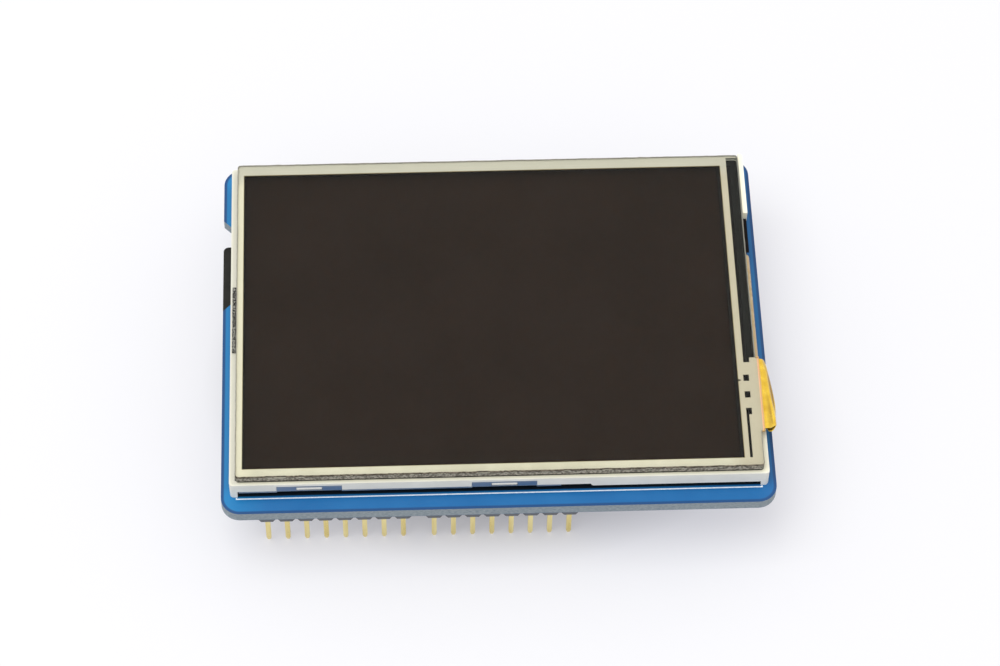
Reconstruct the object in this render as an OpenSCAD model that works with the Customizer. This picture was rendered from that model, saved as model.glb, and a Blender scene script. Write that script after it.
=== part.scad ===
/* [Circuit board] */
// Length of the board, left to right
board_l = 72.2; // [66:0.1:90]
// Width of the board, front to back
board_w = 54.7; // [53.5:0.1:60]
// Thickness of the board
board_t = 1.6; // [0.8:0.1:2.4]
// Radius of the board's corners
board_corner_r = 2.5; // [0.5:0.1:4]
// Length of the finger notch along the board's left edge
notch_l = 14.7; // [12:0.1:17]
// Depth of the finger notch, its ends cut at 45 degrees
notch_depth = 2.4; // [1:0.1:3]
// Distance of the finger notch's middle behind the memory card's middle
notch_shift = 0.9; // [0:0.1:1.2]
// Width of the white printed lines
mark_line_w = 0.16; // [0.1:0.01:0.3]
// Thickness of the white printed lines
mark_t = 0.03; // [0.02:0.01:0.05]
// Gap between the screen module and the printed line round it
mark_gap = 0.2; // [0.1:0.05:0.5]
// Distance of the printed line's ends inside the screen module's ends
mark_inset = 0.75; // [0.5:0.05:0.9]

/* [Stacking headers] */
// Distance between neighbouring pins
pitch = 2.54; // [2:0.01:2.54]
// Width of a square pin
pin_w = 0.64; // [0.5:0.01:0.8]
// Free length of a pin below its plastic base
pin_free = 6.5; // [4.5:0.1:9]
// Length of a pin's tapered tip
pin_tip_l = 0.8; // [0.3:0.1:1.2]
// Width of a pin's blunt point
pin_tip_w = 0.3; // [0.2:0.05:0.4]
// Height of the plastic base that holds the pins
header_h = 2.5; // [2:0.1:3.5]
// Corner chamfer of each segment of the base
header_chamfer = 0.5; // [0.2:0.05:0.7]
// Length of a pin's solder foot, from the pin's middle
foot_l = 2.1; // [1.9:0.1:2.3]
// Height of the feet and solder between base and board
header_gap = 0.9; // [0.7:0.05:1.2]
// Distance of the first pin from the board's left edge
first_pin_x = 5.755; // [5.3:0.005:8]
// Distance of the front pin row from the board's front edge
front_row_y = 2.89; // [2.8:0.01:3.6]
// Distance between the front and the back pin rows
row_spacing = 48.26; // [46:0.01:50]
// Pins in each front header
digital_pins = 8; // [6:1:8]
// Pins in each back header
analog_pins = 6; // [4:1:6]
// Extra gap between the two front headers
digital_gap = 1.524; // [0.2:0.001:3]
// Pitches from the back row's first header to its second
power_shift = 7; // [7:1:8]
// Clearance between a pin and its hole in the plastic
pin_clearance = 0.01; // [0:0.005:0.04]

/* [Programming socket] */
// Height of the socket's body
socket_h = 8.5; // [7:0.1:8.7]
// Gap between the socket's body and the board
socket_gap = 0.3; // [0.2:0.05:0.6]
// Rows of the socket
socket_rows = 3; // [2:1:3]
// Width of a contact hole's straight part
socket_hole_w = 1; // [0.9:0.05:1.2]
// Width of a contact hole at its mouth
socket_mouth_w = 1.5; // [1.3:0.05:1.8]
// Depth of the tapered mouth
socket_mouth_h = 0.6; // [0.3:0.05:1]
// Thickness of the contact leaves
leaf_t = 0.15; // [0.1:0.01:0.2]
// Distance of the socket's middle left of the first pin
socket_shift_x = 1.4; // [1:0.05:2]
// Distance of the socket's middle behind the front pin row
socket_shift_y = 22.86; // [20:0.01:24]

/* [Memory card slot] */
// Distance of the slot's middle in front of the back pin row
slot_from_row = 13.2; // [12.4:0.1:14]
// Width of the memory card
card_w = 11; // [10.8:0.1:11.2]
// Length of the memory card
card_l = 15; // [14.8:0.1:15.2]
// Thickness of the memory card
card_t = 0.7; // [0.6:0.05:0.8]
// Width of the card's front end, beyond its shoulder
card_nose_w = 9.7; // [9.4:0.1:10]
// Length of the card's wide rear part
card_rear_l = 8.2; // [7:0.1:9]
// Corner radius of the card
card_corner_r = 0.7; // [0.3:0.1:1]
// How far the card stands out past the board's edge
card_proud = 0.15; // [0:0.05:0.4]
// Height of the thumb lip across the card's rear end
card_lip_h = 0.2; // [0.1:0.05:0.3]
// Distance of the slot's mouth from the board's edge
slot_setback = 1.4; // [1:0.1:3]
// Free space behind the card's nose in the slot
card_stop_gap = 1.05; // [0.3:0.05:1.5]
// Width of the slot's steel cover
slot_w = 14; // [13.6:0.1:15]
// Thickness of the slot's steel cover
cover_t = 0.2; // [0.1:0.05:0.3]
// Thickness of the slot's plastic floor
slot_floor_t = 0.4; // [0.3:0.05:0.6]
// Distance of the card's face below the board
card_drop = 0.72; // [0.7:0.01:0.9]
// Clearance round the card in the slot
card_clearance = 0.1; // [0.05:0.05:0.2]
// Number of contact springs
card_contacts = 8; // [6:1:8]
// Distance between the contact springs
card_contact_pitch = 1.1; // [1:0.05:1.1]

/* [Screen module] */
// Length of the moulded frame
frame_l = 69.9; // [69:0.1:70.6]
// Width of the moulded frame
frame_w = 50.2; // [48:0.1:51]
// Distance of the screen's middle right of the board's middle
screen_x = 0.05; // [-0.3:0.05:0.3]
// Distance of the screen's middle behind the board's middle
screen_y = 0.25; // [-0.3:0.05:0.3]
// Outer corner radius of the frame
frame_corner_r = 0.5; // [0.2:0.1:0.8]
// Thickness of the frame's wall beside the glass
rim_t = 0.75; // [0.6:0.05:0.9]
// Width of the frame's shelf and wall together
shelf_w = 1.8; // [1.5:0.05:2.2]
// Gap between the right wall's front part and the touch panel's tail
door_gap = 0.3; // [0.2:0.05:1]
// Distance from the frame's front to the end of the right wall's gap for the tails
door_end = 40.3; // [37:0.1:44]
// Height of the deep front wall's lower edge above the board
skirt_clear = 0.9; // [0.5:0.05:1.2]
// Distance from the frame's left end to the deep front wall
skirt_start = 46.8; // [44:0.1:50]
// Radius of the deep front wall's lower corner
skirt_r = 0.4; // [0.2:0.05:0.4]
// Length of the corner feet
frame_foot_l = 1; // [0.8:0.1:1.3]
// Depth of the corner feet
frame_foot_w = 1.2; // [0.8:0.1:1.6]
// Distance of the foam tape inside the frame's edges
tape_inset = 1.6; // [1.4:0.1:3]
// Thickness of the foam tape between screen and board
tape_t = 1.05; // [0.7:0.05:2]
// Thickness of the steel tray
tray_t = 0.2; // [0.15:0.01:0.3]
// Gap between the tray and the frame above it
tray_gap = 0.1; // [0.05:0.01:0.2]
// Distance from the frame's left end to the end of the tray's lip
tray_lip_end = 42.9; // [40:0.1:44]
// Width of a tray tab
tab_w = 8.4; // [7:0.1:10]
// Height of a tray tab above the tray
tab_h = 1.15; // [0.9:0.05:1.25]
// Distance from the frame's left end to the first tab's middle
tab_x = 10.3; // [8:0.1:12]
// Distance between the two tabs
tab_spacing = 25.25; // [20:0.05:27]
// Width of the window in a tab
tab_window_w = 3.4; // [3:0.1:5]
// Height of the window in a tab
tab_window_h = 0.7; // [0.5:0.05:0.8]
// Clearance between the tabs and the frame
tab_clearance = 0.03; // [0.02:0.01:0.1]
// Thickness of the reflector film
reflector_t = 0.1; // [0.05:0.01:0.2]
// Thickness of the light guide
guide_t = 0.55; // [0.4:0.01:0.8]
// Thickness of the diffuser film
diffuser_t = 0.05; // [0.04:0.01:0.1]
// Thickness of each prism film
prism_t = 0.06; // [0.05:0.01:0.1]
// Thickness of each polarizer
polarizer_t = 0.12; // [0.08:0.01:0.2]
// Thickness of each sheet of display glass
cell_glass_t = 0.3; // [0.2:0.01:0.7]
// Clearance round the glass and films inside the frame
cell_clearance = 0.1; // [0.05:0.01:0.2]
// Width of the lower glass's ledge for driver chip and tail
ledge_w = 2.4; // [2.2:0.1:3]
// Distance from the glass's edge to the polarizers
polarizer_inset = 0.4; // [0.2:0.05:0.8]
// Number of white light sources along the guide
leds = 6; // [4:1:8]
// Length of each light source
led_l = 3.8; // [2:0.1:4]
// Depth of each light source
led_w = 0.8; // [0.6:0.05:1]

/* [Touch panel] */
// Distance from the frame's left and right sides to the touch panel
touch_margin_x = 0.8; // [0.7:0.05:1.5]
// Distance from the frame's front and back sides to the touch panel
touch_margin_y = 0.4; // [0.2:0.05:1.2]
// Distance of the touch panel's middle right of the screen module's middle
touch_x = 0.05; // [-0.1:0.05:0.1]
// Corner radius of the touch panel
touch_corner_r = 0.4; // [0.2:0.1:1]
// Thickness of the black foam gasket under the panel
gasket_t = 0.4; // [0.2:0.05:0.5]
// Distance from the panel's edge to the gasket
gasket_inset = 0.25; // [0.1:0.05:0.4]
// Width of the gasket
gasket_w = 0.8; // [0.5:0.05:1.2]
// Length of the gasket's ear on the left side
ear_l = 10.2; // [8:0.1:14]
// How far the ear stands out past the panel
ear_out = 0.6; // [0.3:0.05:0.8]
// Distance of the ear's middle behind the panel's middle
ear_shift = 0.35; // [-2:0.05:2]
// Thickness of the panel's glass
touch_glass_t = 0.75; // [0.5:0.05:1.1]
// Thickness of the printed and glued layer between glass and film
border_t = 0.1; // [0.05:0.01:0.15]
// Thickness of the panel's top film
film_t = 0.27; // [0.15:0.01:0.3]
// Width of the printed border on the left side
border_left = 0.9; // [0.7:0.01:1.5]
// Width of the printed border on the front side
border_front = 1.3; // [1:0.01:2]
// Width of the printed border on the back side
border_back = 1.6; // [1.2:0.01:2.2]
// Width of the right border's inner conductor
border_right = 0.9; // [0.6:0.01:1.2]
// Width of the open dark strip outside that conductor
strip_w = 1.6; // [1.2:0.01:1.7]
// Width of the back border outside the dark strip
strip_end = 0.3; // [0.2:0.01:0.8]
// Distance of the contact block's end from the panel's front edge
block_end = 16.6; // [15.8:0.1:17.3]
// Distance of the contact block's start from the panel's front edge
block_start = 5.2; // [4.8:0.1:6.5]
// Size of the windows in the contact block, across
window_w = 0.75; // [0.5:0.01:0.8]
// Size of the windows in the contact block, along
window_l = 1; // [0.6:0.01:1.5]
// Distance between the windows
window_pitch = 2.57; // [2.1:0.01:2.7]
// Number of windows
windows = 3; // [2:1:3]
// Width of the slot between the two conductors
slot_line_w = 0.36; // [0.2:0.01:0.5]
// How far the film's contact tab stands out past the glass
film_tab = 0.45; // [0.4:0.05:0.8]

/* [Flexible tails] */
// Thickness of the display's tail
display_tail_t = 0.1; // [0.08:0.01:0.15]
// Width of the display's tail
display_tail_w = 17.4; // [16:0.1:17.6]
// Distance of the display tail's middle behind the screen's middle
display_tail_shift = 0.8; // [0.6:0.05:1.2]
// Length of the display's tail under the screen
display_tail_run = 13; // [9:0.1:20]
// Thickness of the touch panel's tail
touch_tail_t = 0.12; // [0.1:0.01:0.16]
// Bulge of the touch tail's fold at its back end
fold_back = 0.85; // [0.6:0.05:1.1]
// Bulge of the touch tail's fold at its front end
fold_front = 1.7; // [1.3:0.05:1.9]
// Height of the touch tail's fold
fold_h = 1.6; // [1.1:0.05:1.9]
// How far the touch tail narrows on its front side as it goes round the fold
tail_taper = 1.9; // [0:0.1:2.5]
// Length of the touch tail under the screen
touch_tail_run = 6; // [4:0.1:9]
// Gap between the tails and the board
tail_gap = 0.05; // [0.02:0.01:0.1]

/* [Electronic parts] */
// Distance between the leads of the fine chips
lead_pitch = 0.65; // [0.6:0.01:0.65]
// Width of the fine chips' bodies
chip_w = 4.4; // [4:0.1:5]
// Thickness of the chips' bodies
chip_t = 1; // [0.8:0.05:1.2]
// Thickness of the leads
lead_t = 0.15; // [0.1:0.01:0.2]
// Leads on each side of the touch controller
touch_chip_leads = 8; // [7:1:10]
// Leads on each side of a level shifter
shifter_leads = 10; // [7:1:12]
// Length of the small resistors and capacitors
passive_l = 1.6; // [1:0.1:2]
// Width of the small resistors and capacitors
passive_w = 0.8; // [0.5:0.1:1]
// Thickness of the solder pads
pad_t = 0.05; // [0.03:0.01:0.06]

/* [Hidden] */
$fn = 48;
cut = 0.02;                        // how far a cutting solid runs past a face

// Heights above the pin tips, from the table up
z_base = pin_free;
z_base_top = z_base + header_h;
z_board = z_base_top + header_gap;
z_top = z_board + board_t;
z_tray = z_top + tape_t;
z_reflector = z_tray + tray_t;
z_guide = z_reflector + reflector_t;
z_diffuser = z_guide + guide_t;
z_prisms = z_diffuser + diffuser_t;
z_cell = z_prisms + 2 * prism_t;
z_lower_glass = z_cell + polarizer_t;
z_upper_glass = z_lower_glass + cell_glass_t;
z_front = z_upper_glass + cell_glass_t;
z_rim = z_front + polarizer_t;
z_touch = z_rim + gasket_t;
z_border = z_touch + touch_glass_t;
z_film = z_border + border_t;
z_face = z_film + film_t;
z_frame = z_reflector + tray_gap;

// Header places, from the board's middle
first_x = first_pin_x - board_l / 2;
front_y = front_row_y - board_w / 2;
back_y = front_y + row_spacing;
high_x = first_x + digital_pins * pitch + digital_gap;
power_x = first_x + power_shift * pitch;
slot_y = back_y - slot_from_row;

// Edges of the screen module and the touch panel
frame_left = screen_x - frame_l / 2;
frame_right = screen_x + frame_l / 2;
frame_front = screen_y - frame_w / 2;
touch_l = frame_l - 2 * touch_margin_x;
touch_w = frame_w - 2 * touch_margin_y;
touch_left = screen_x + touch_x - touch_l / 2;
touch_right = screen_x + touch_x + touch_l / 2;
touch_front = screen_y - touch_w / 2;
cell_l = frame_l - 2 * (rim_t + cell_clearance);
cell_w = frame_w - 2 * (rim_t + cell_clearance);
cell_right = screen_x + cell_l / 2;
inner_l = frame_l - 2 * (shelf_w + cell_clearance);
inner_w = frame_w - 2 * (shelf_w + cell_clearance);
display_tail_y = screen_y + display_tail_shift;
display_tail_back = display_tail_y + display_tail_w / 2;
tail_margin = 0.1;                 // film left free beside the touch tail
touch_tail_front = touch_front + block_start + tail_margin;
door_front = touch_tail_front + tail_taper - door_gap;
door_back = frame_front + door_end;

// ---- shared shapes ----

// Flat rectangle about the origin with round corners
module round_rect(l, w, r) {
    square([l - 2 * r, w], center = true);
    square([l, w - 2 * r], center = true);
    for (sx = [-1, 1], sy = [-1, 1])
        translate([sx * (l / 2 - r), sy * (w / 2 - r)])
            circle(r);
}

// Sheet of the screen module, lying at height z
module sheet(l, w, t, z, r = 0.2) {
    translate([screen_x, screen_y, z])
        linear_extrude(t)
            round_rect(l, w, r);
}

// Children hang from the underside of the board, built as if it faced up
module under_board(x = 0, y = 0, turn = 0) {
    translate([x, y, z_board])
        mirror([0, 0, 1])
            rotate(turn)
                children();
}

// Children appear on the front side and, mirrored, on the back side of the screen
module front_and_back() {
    for (s = [0, 1])
        translate([0, screen_y, 0])
            mirror([0, s, 0])
                children();
}

// Flat side view in X and Z, drawn out along Y over the length l
module along_y(l) {
    translate([0, l / 2, 0])
        rotate([90, 0, 0])
            linear_extrude(l)
                children();
}

// Flat side view in Y and Z, drawn out along X over the length l
module along_x(l) {
    translate([-l / 2, 0, 0])
        rotate([90, 0, 90])
            linear_extrude(l)
                children();
}

// ---- circuit board ----

module board_outline() {
    notch_y = slot_y + notch_shift;
    half = notch_l / 2;
    edge = -board_l / 2;
    difference() {
        round_rect(board_l, board_w, board_corner_r);
        polygon([
            [edge - cut, notch_y - half - cut],
            [edge + notch_depth, notch_y - half + notch_depth],
            [edge + notch_depth, notch_y + half - notch_depth],
            [edge - cut, notch_y + half + cut]
        ]);
    }
}

module circuit_board() {
    color("#2f78ba")
        translate([0, 0, z_board])
            linear_extrude(board_t)
                board_outline();
}

// White line printed round the place of the screen module: its front and back run just outside
// the module, its ends lie under it, clear of the module's corner feet
module screen_outline_mark() {
    open_l = frame_l - 2 * (mark_inset + mark_line_w);
    open_w = frame_w + 2 * mark_gap;
    corner_l = frame_foot_l + mark_gap;
    corner_w = frame_foot_w + mark_gap;
    color("#e8eef4")
        translate([screen_x, screen_y, z_top])
            linear_extrude(mark_t)
                difference() {
                    square([open_l + 2 * mark_line_w, open_w + 2 * mark_line_w], center = true);
                    square([open_l, open_w], center = true);
                    for (sx = [-1, 1], sy = [-1, 1])
                        translate([sx * (frame_l - corner_l) / 2, sy * (frame_w + mark_gap - corner_w) / 2])
                            square([corner_l, corner_w], center = true);
                    translate([-screen_x - board_l / 2, slot_y + notch_shift - screen_y])
                        square([4 * notch_depth, notch_l], center = true);
                }
}

// ---- stacking headers ----

// Side on which the foot of pin i lies: feet alternate front and back
function foot_side(i) = i % 2 == 0 ? -1 : 1;

// One segment of the plastic base, seen from above
module header_segment() {
    h = pitch / 2;
    c = h - header_chamfer;
    polygon([[-h, -c], [-c, -h], [c, -h], [h, -c], [h, c], [c, h], [-c, h], [-h, c]]);
}

module header_base(x, y, count) {
    hole = pin_w + 2 * pin_clearance;
    color("#22252b")
        translate([x, y, z_base])
            linear_extrude(header_h)
                difference() {
                    for (i = [0:count - 1])
                        translate([i * pitch, 0])
                            header_segment();
                    for (i = [0:count - 1])
                        translate([i * pitch, 0])
                            square(hole, center = true);
                }
}

// Straight pin with a blunt tapered point, as a flat side view
module pin_side_view() {
    polygon([
        [-pin_tip_w / 2, 0], [pin_tip_w / 2, 0],
        [pin_w / 2, pin_tip_l], [pin_w / 2, z_board - pad_t],
        [-pin_w / 2, z_board - pad_t], [-pin_w / 2, pin_tip_l]
    ]);
}

// Foot that lies along Y on its solder pad, with the outer bend rounded
module pin_foot(side) {
    bend_r = pin_w * 0.7;
    mirror([0, side < 0 ? 1 : 0, 0])
        difference() {
            translate([-pin_w / 2, -pin_w / 2, z_board - pad_t - pin_w])
                cube([pin_w, foot_l + pin_w / 2, pin_w]);
            translate([0, -pin_w / 2, z_board - pad_t])
                along_x(pin_w + 2 * cut)
                    difference() {
                        translate([-cut, -bend_r])
                            square([bend_r + cut, bend_r + cut]);
                        translate([bend_r, -bend_r])
                            circle(bend_r);
                    }
        }
}

module header_pins(x, y, count) {
    row_l = count * pitch;
    shaft_top = z_board - pad_t - pin_w / 2;
    color("#d9bd68")
        translate([x, y, 0]) {
            intersection() {
                along_y(pin_w)
                    for (i = [0:count - 1])
                        translate([i * pitch, 0])
                            pin_side_view();
                translate([(count - 1) * pitch / 2, 0, 0])
                    along_x(row_l)
                        pin_side_view();
                translate([-pitch, -pitch, -cut])
                    cube([row_l + pitch, 2 * pitch, shaft_top - pin_w / 2 + 2 * cut]);
            }
            for (i = [0:count - 1])
                translate([i * pitch, 0, 0])
                    pin_foot(foot_side(i));
        }
}

module digital_low_header_base() {
    header_base(first_x, front_y, digital_pins);
}

module digital_low_header_pins() {
    header_pins(first_x, front_y, digital_pins);
}

module digital_high_header_base() {
    header_base(high_x, front_y, digital_pins);
}

module digital_high_header_pins() {
    header_pins(high_x, front_y, digital_pins);
}

module analog_header_base() {
    header_base(first_x, back_y, analog_pins);
}

module analog_header_pins() {
    header_pins(first_x, back_y, analog_pins);
}

module power_header_base() {
    header_base(power_x, back_y, analog_pins);
}

module power_header_pins() {
    header_pins(power_x, back_y, analog_pins);
}

// ---- programming socket ----

socket_x = first_x - socket_shift_x;
socket_y = front_y + socket_shift_y;

// Places of the socket's contacts, from its middle
socket_places = [for (i = [0:socket_rows - 1], s = [-1, 1])
    [s * pitch / 2, (i - (socket_rows - 1) / 2) * pitch]];

// Side view of a contact hole with its tapered mouth
module socket_hole_view(depth) {
    w = socket_hole_w / 2;
    m = socket_mouth_w / 2;
    top = socket_h + socket_gap;
    polygon([
        [-w, top - depth], [w, top - depth], [w, top - socket_mouth_h],
        [m, top], [m, top + cut], [-m, top + cut], [-m, top], [-w, top - socket_mouth_h]
    ]);
}

module programming_socket_body() {
    depth = socket_h - pin_w;
    color("#1d1f23")
        under_board(socket_x, socket_y)
            difference() {
                translate([-pitch, -socket_rows * pitch / 2, socket_gap])
                    cube([2 * pitch, socket_rows * pitch, socket_h]);
                for (p = socket_places)
                    translate([p[0], p[1], 0])
                        intersection() {
                            along_x(pitch)
                                socket_hole_view(depth);
                            along_y(pitch)
                                socket_hole_view(depth);
                        }
                for (p = socket_places)
                    translate([p[0], p[1], socket_gap + pin_w / 2])
                        cube([pin_w, pin_w, 2 * pin_w], center = true);
            }
}

// Two spring leaves on a stem, with a foot on the board
module socket_contact(side) {
    stem_top = socket_gap + pin_w + leaf_t;
    leaf_x = socket_hole_w / 2 - leaf_t - pin_clearance;
    leaf_l = socket_h / 2;
    plate_w = pin_w - 2 * pin_clearance;
    translate([-plate_w / 2, -plate_w / 2, pad_t])
        cube([plate_w, plate_w, stem_top - pad_t]);
    translate([-leaf_x - leaf_t, -plate_w / 2, stem_top - leaf_t])
        cube([2 * (leaf_x + leaf_t), plate_w, leaf_t]);
    for (s = [0, 1])
        mirror([s, 0, 0])
            translate([leaf_x, -plate_w / 2, stem_top - leaf_t])
                cube([leaf_t, plate_w, leaf_l]);
    mirror([side < 0 ? 1 : 0, 0, 0])
        translate([0, -plate_w / 2, pad_t])
            cube([foot_l, plate_w, socket_gap - pad_t - pin_clearance]);
}

module programming_socket_contacts() {
    color("#d2b565")
        under_board(socket_x, socket_y)
            for (p = socket_places)
                translate([p[0], p[1], 0])
                    socket_contact(p[0]);
}

// ---- memory card and its slot ----

slot_mouth_x = -board_l / 2 + slot_setback;
slot_l = card_l - card_proud - slot_setback + card_stop_gap + cover_t;
card_h = card_drop;
card_path_w = card_w + 2 * card_clearance;
rail_h = card_h + card_t + card_clearance;
slot_top = rail_h + cover_t;

// Card seen from above, its rear edge on X = 0 and its nose towards +X
module card_outline() {
    translate([card_rear_l / 2, 0])
        round_rect(card_rear_l, card_w, card_corner_r);
    translate([card_l / 2, (card_w - card_nose_w) / 2])
        round_rect(card_l, card_nose_w, card_corner_r);
}

module memory_card() {
    lip_l = 1.4;
    color("#191a1c")
        under_board(-board_l / 2 - card_proud, slot_y) {
            translate([0, 0, card_h])
                linear_extrude(card_t)
                    card_outline();
            translate([0, 0, card_h + card_t])
                linear_extrude(card_lip_h)
                    intersection() {
                        card_outline();
                        square([2 * lip_l, card_w], center = true);
                    }
        }
}

module card_slot_floor() {
    rail_w = (slot_w - 2 * cover_t - card_path_w) / 2 - 2 * pin_clearance;
    well_l = 2.4;
    color("#2a2c30")
        under_board(slot_mouth_x, slot_y)
            difference() {
                union() {
                    translate([0, -card_path_w / 2 - rail_w, pad_t])
                        cube([slot_l - cover_t, card_path_w + 2 * rail_w, slot_floor_t]);
                    for (s = [0, 1])
                        mirror([0, s, 0])
                            translate([0, card_path_w / 2, pad_t])
                                cube([slot_l - cover_t, rail_w, rail_h - pad_t]);
                }
                for (i = [0:card_contacts - 1])
                    translate([slot_l / 2, (i - (card_contacts - 1) / 2) * card_contact_pitch, 0])
                        cube([2 * well_l, card_contact_pitch / 2, 4 * slot_floor_t], center = true);
            }
}

// Bent spring that presses on the card from a well in the floor
module card_spring() {
    w = card_contact_pitch / 2 - 2 * card_clearance;
    reach = 2.2;
    rise = card_h - pad_t - lead_t;
    along = [[-reach, 0], [reach - 0.5, 0], [reach, 0.5 * rise], [0, rise], [-0.6, 0.8 * rise]];
    translate([0, 0, pad_t])
        along_y(w)
            polygon([
                along[0], along[1], along[2], along[3], along[4],
                [along[4][0], along[4][1] - lead_t], [along[3][0], along[3][1] - lead_t],
                [along[2][0] - 2 * lead_t, along[2][1]], [along[1][0] - lead_t, lead_t],
                [along[0][0], lead_t]
            ]);
}

module card_slot_contacts() {
    color("#cfae5a")
        under_board(slot_mouth_x + slot_l / 2, slot_y)
            for (i = [0:card_contacts - 1])
                translate([0, (i - (card_contacts - 1) / 2) * card_contact_pitch, 0])
                    card_spring();
}

// Folded steel cover: open at the mouth and towards the board
module card_slot_cover() {
    tongue_l = 4;
    tongue_w = 1.6;
    groove = 0.4;
    tab = 1.4;
    color("#b9bcc0")
        under_board(slot_mouth_x, slot_y) {
            difference() {
                translate([0, -slot_w / 2, 2 * pad_t])
                    cube([slot_l, slot_w, slot_top - 2 * pad_t]);
                translate([-cut, -slot_w / 2 + cover_t, -cut])
                    cube([slot_l - cover_t + cut, slot_w - 2 * cover_t, rail_h + cut]);
                for (y = [-slot_w / 4, slot_w / 4])
                    translate([slot_l * 0.45, y, slot_top])
                        difference() {
                            cube([tongue_l + 2 * groove, tongue_w + 2 * groove, 4 * cover_t], center = true);
                            translate([groove, 0, 0])
                                cube([tongue_l, tongue_w, 6 * cover_t], center = true);
                        }
                translate([0, 0, slot_top])
                    cylinder(r = card_w / 4, h = 4 * cover_t, center = true);
                translate([slot_l * 0.8, 0, slot_top])
                    cylinder(r = tongue_w / 2, h = 4 * cover_t, center = true);
            }
            for (x = [tab, slot_l - 2 * tab], s = [0, 1])
                mirror([0, s, 0])
                    translate([x, slot_w / 2 - cover_t, pad_t])
                        cube([tab, tab / 2 + cover_t, cover_t]);
        }
}

// ---- chips and small parts under the board ----

// Gull-wing lead seen from the side, leaving a body at [0, chip_t / 2]
module lead_view(reach) {
    mid = chip_t / 2 + pad_t;
    knee = reach * 0.35;
    heel = reach * 0.55;
    polygon([
        [0, mid], [knee, mid], [heel, pad_t], [reach, pad_t], [reach, pad_t + lead_t],
        [heel + lead_t, pad_t + lead_t], [knee + lead_t, mid + lead_t], [0, mid + lead_t]
    ]);
}

// Row of leads along the back side of a body of width w
module lead_row(count, spacing, w, lead_w, reach) {
    for (i = [0:count - 1])
        translate([(i - (count - 1) / 2) * spacing, w / 2, 0])
            along_x(lead_w)
                lead_view(reach);
}

// Moulded chip body, its sides drafted towards the parting line of the leads
module chip_body(l, w) {
    draft = 0.12;
    mid = chip_t / 2;
    translate([0, 0, pad_t])
        intersection() {
            along_y(w)
                polygon([
                    [-l / 2 + draft, 0], [l / 2 - draft, 0], [l / 2, mid], [l / 2 - draft, chip_t],
                    [-l / 2 + draft, chip_t], [-l / 2, mid]
                ]);
            along_x(l)
                polygon([
                    [-w / 2 + draft, 0], [w / 2 - draft, 0], [w / 2, mid], [w / 2 - draft, chip_t],
                    [-w / 2 + draft, chip_t], [-w / 2, mid]
                ]);
        }
}

// Body of a fine chip with the given leads on each side, pin 1 marked by a round dimple
module fine_chip(leads) {
    l = leads * lead_pitch;
    dimple_r = 0.4;
    difference() {
        chip_body(l, chip_w);
        translate([-l / 2 + 2.2 * dimple_r, -chip_w / 2 + 2.2 * dimple_r, pad_t + chip_t - dimple_r / 4])
            cylinder(r = dimple_r, h = dimple_r);
    }
}

module fine_chip_leads(leads) {
    for (turn = [0, 180])
        rotate(turn)
            lead_row(leads, lead_pitch, chip_w, lead_pitch / 3, 1);
}

touch_chip_place = [16, 4, 90];
shifter_places = [[-9, 6, 0], [3, 6, 0]];
regulator_place = [-14, -10, 0];
transistor_place = [27, 3, 0];
small_body = [2.9, 1.6];
small_pitch = 0.95;
small_reach = 0.65;
small_lead_w = 0.4;

module touch_controller_body() {
    color("#26282b")
        under_board(touch_chip_place[0], touch_chip_place[1], touch_chip_place[2])
            fine_chip(touch_chip_leads);
}

module touch_controller_leads() {
    color("#c6c9cc")
        under_board(touch_chip_place[0], touch_chip_place[1], touch_chip_place[2])
            fine_chip_leads(touch_chip_leads);
}

module level_shifter_bodies() {
    color("#26282b")
        for (p = shifter_places)
            under_board(p[0], p[1], p[2])
                fine_chip(shifter_leads);
}

module level_shifter_leads() {
    color("#c6c9cc")
        for (p = shifter_places)
            under_board(p[0], p[1], p[2])
                fine_chip_leads(shifter_leads);
}

module regulator_body() {
    color("#26282b")
        under_board(regulator_place[0], regulator_place[1])
            chip_body(small_body[0], small_body[1]);
}

// Five leads: three on one side, two on the other
module regulator_leads() {
    color("#c6c9cc")
        under_board(regulator_place[0], regulator_place[1]) {
            lead_row(3, small_pitch, small_body[1], small_lead_w, small_reach);
            rotate(180)
                lead_row(2, 2 * small_pitch, small_body[1], small_lead_w, small_reach);
        }
}

module backlight_transistor_body() {
    color("#26282b")
        under_board(transistor_place[0], transistor_place[1])
            chip_body(small_body[0], small_body[1]);
}

// Three leads: two on one side, one on the other
module backlight_transistor_leads() {
    color("#c6c9cc")
        under_board(transistor_place[0], transistor_place[1]) {
            lead_row(2, 2 * small_pitch, small_body[1], small_lead_w, small_reach);
            rotate(180)
                lead_row(1, small_pitch, small_body[1], small_lead_w, small_reach);
        }
}

resistor_places = [for (i = [0:5]) [-11 + 2.4 * i, -4, 90]];
near_parts = [[24, 8, 90], [29, 8, 90], [31, 3, 90], [-18, -10, 90], [-20.5, -10, 90]];
capacitor_places = [for (i = [0:2]) [10.5, -2 - 4 * i, 90]];

// Small two-ended part: body between two metal end caps, one solid
module chip_part(body_t) {
    cap_l = passive_l / 5;
    translate([-passive_l / 2 + cap_l / 2, -passive_w / 2, pad_t + cap_l / 8])
        cube([passive_l - cap_l, passive_w, body_t]);
    for (s = [-1, 1])
        translate([s * (passive_l - cap_l) / 2, 0, pad_t + body_t / 2 + cap_l / 8])
            cube([cap_l, passive_w, body_t + cap_l / 4], center = true);
}

module chip_resistors() {
    color("#2b2c2e")
        for (p = resistor_places)
            under_board(p[0], p[1], p[2])
                chip_part(passive_w / 2);
}

module chip_capacitors() {
    color("#b49a78")
        for (p = concat(capacitor_places, near_parts))
            under_board(p[0], p[1], p[2])
                chip_part(passive_w);
}

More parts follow.
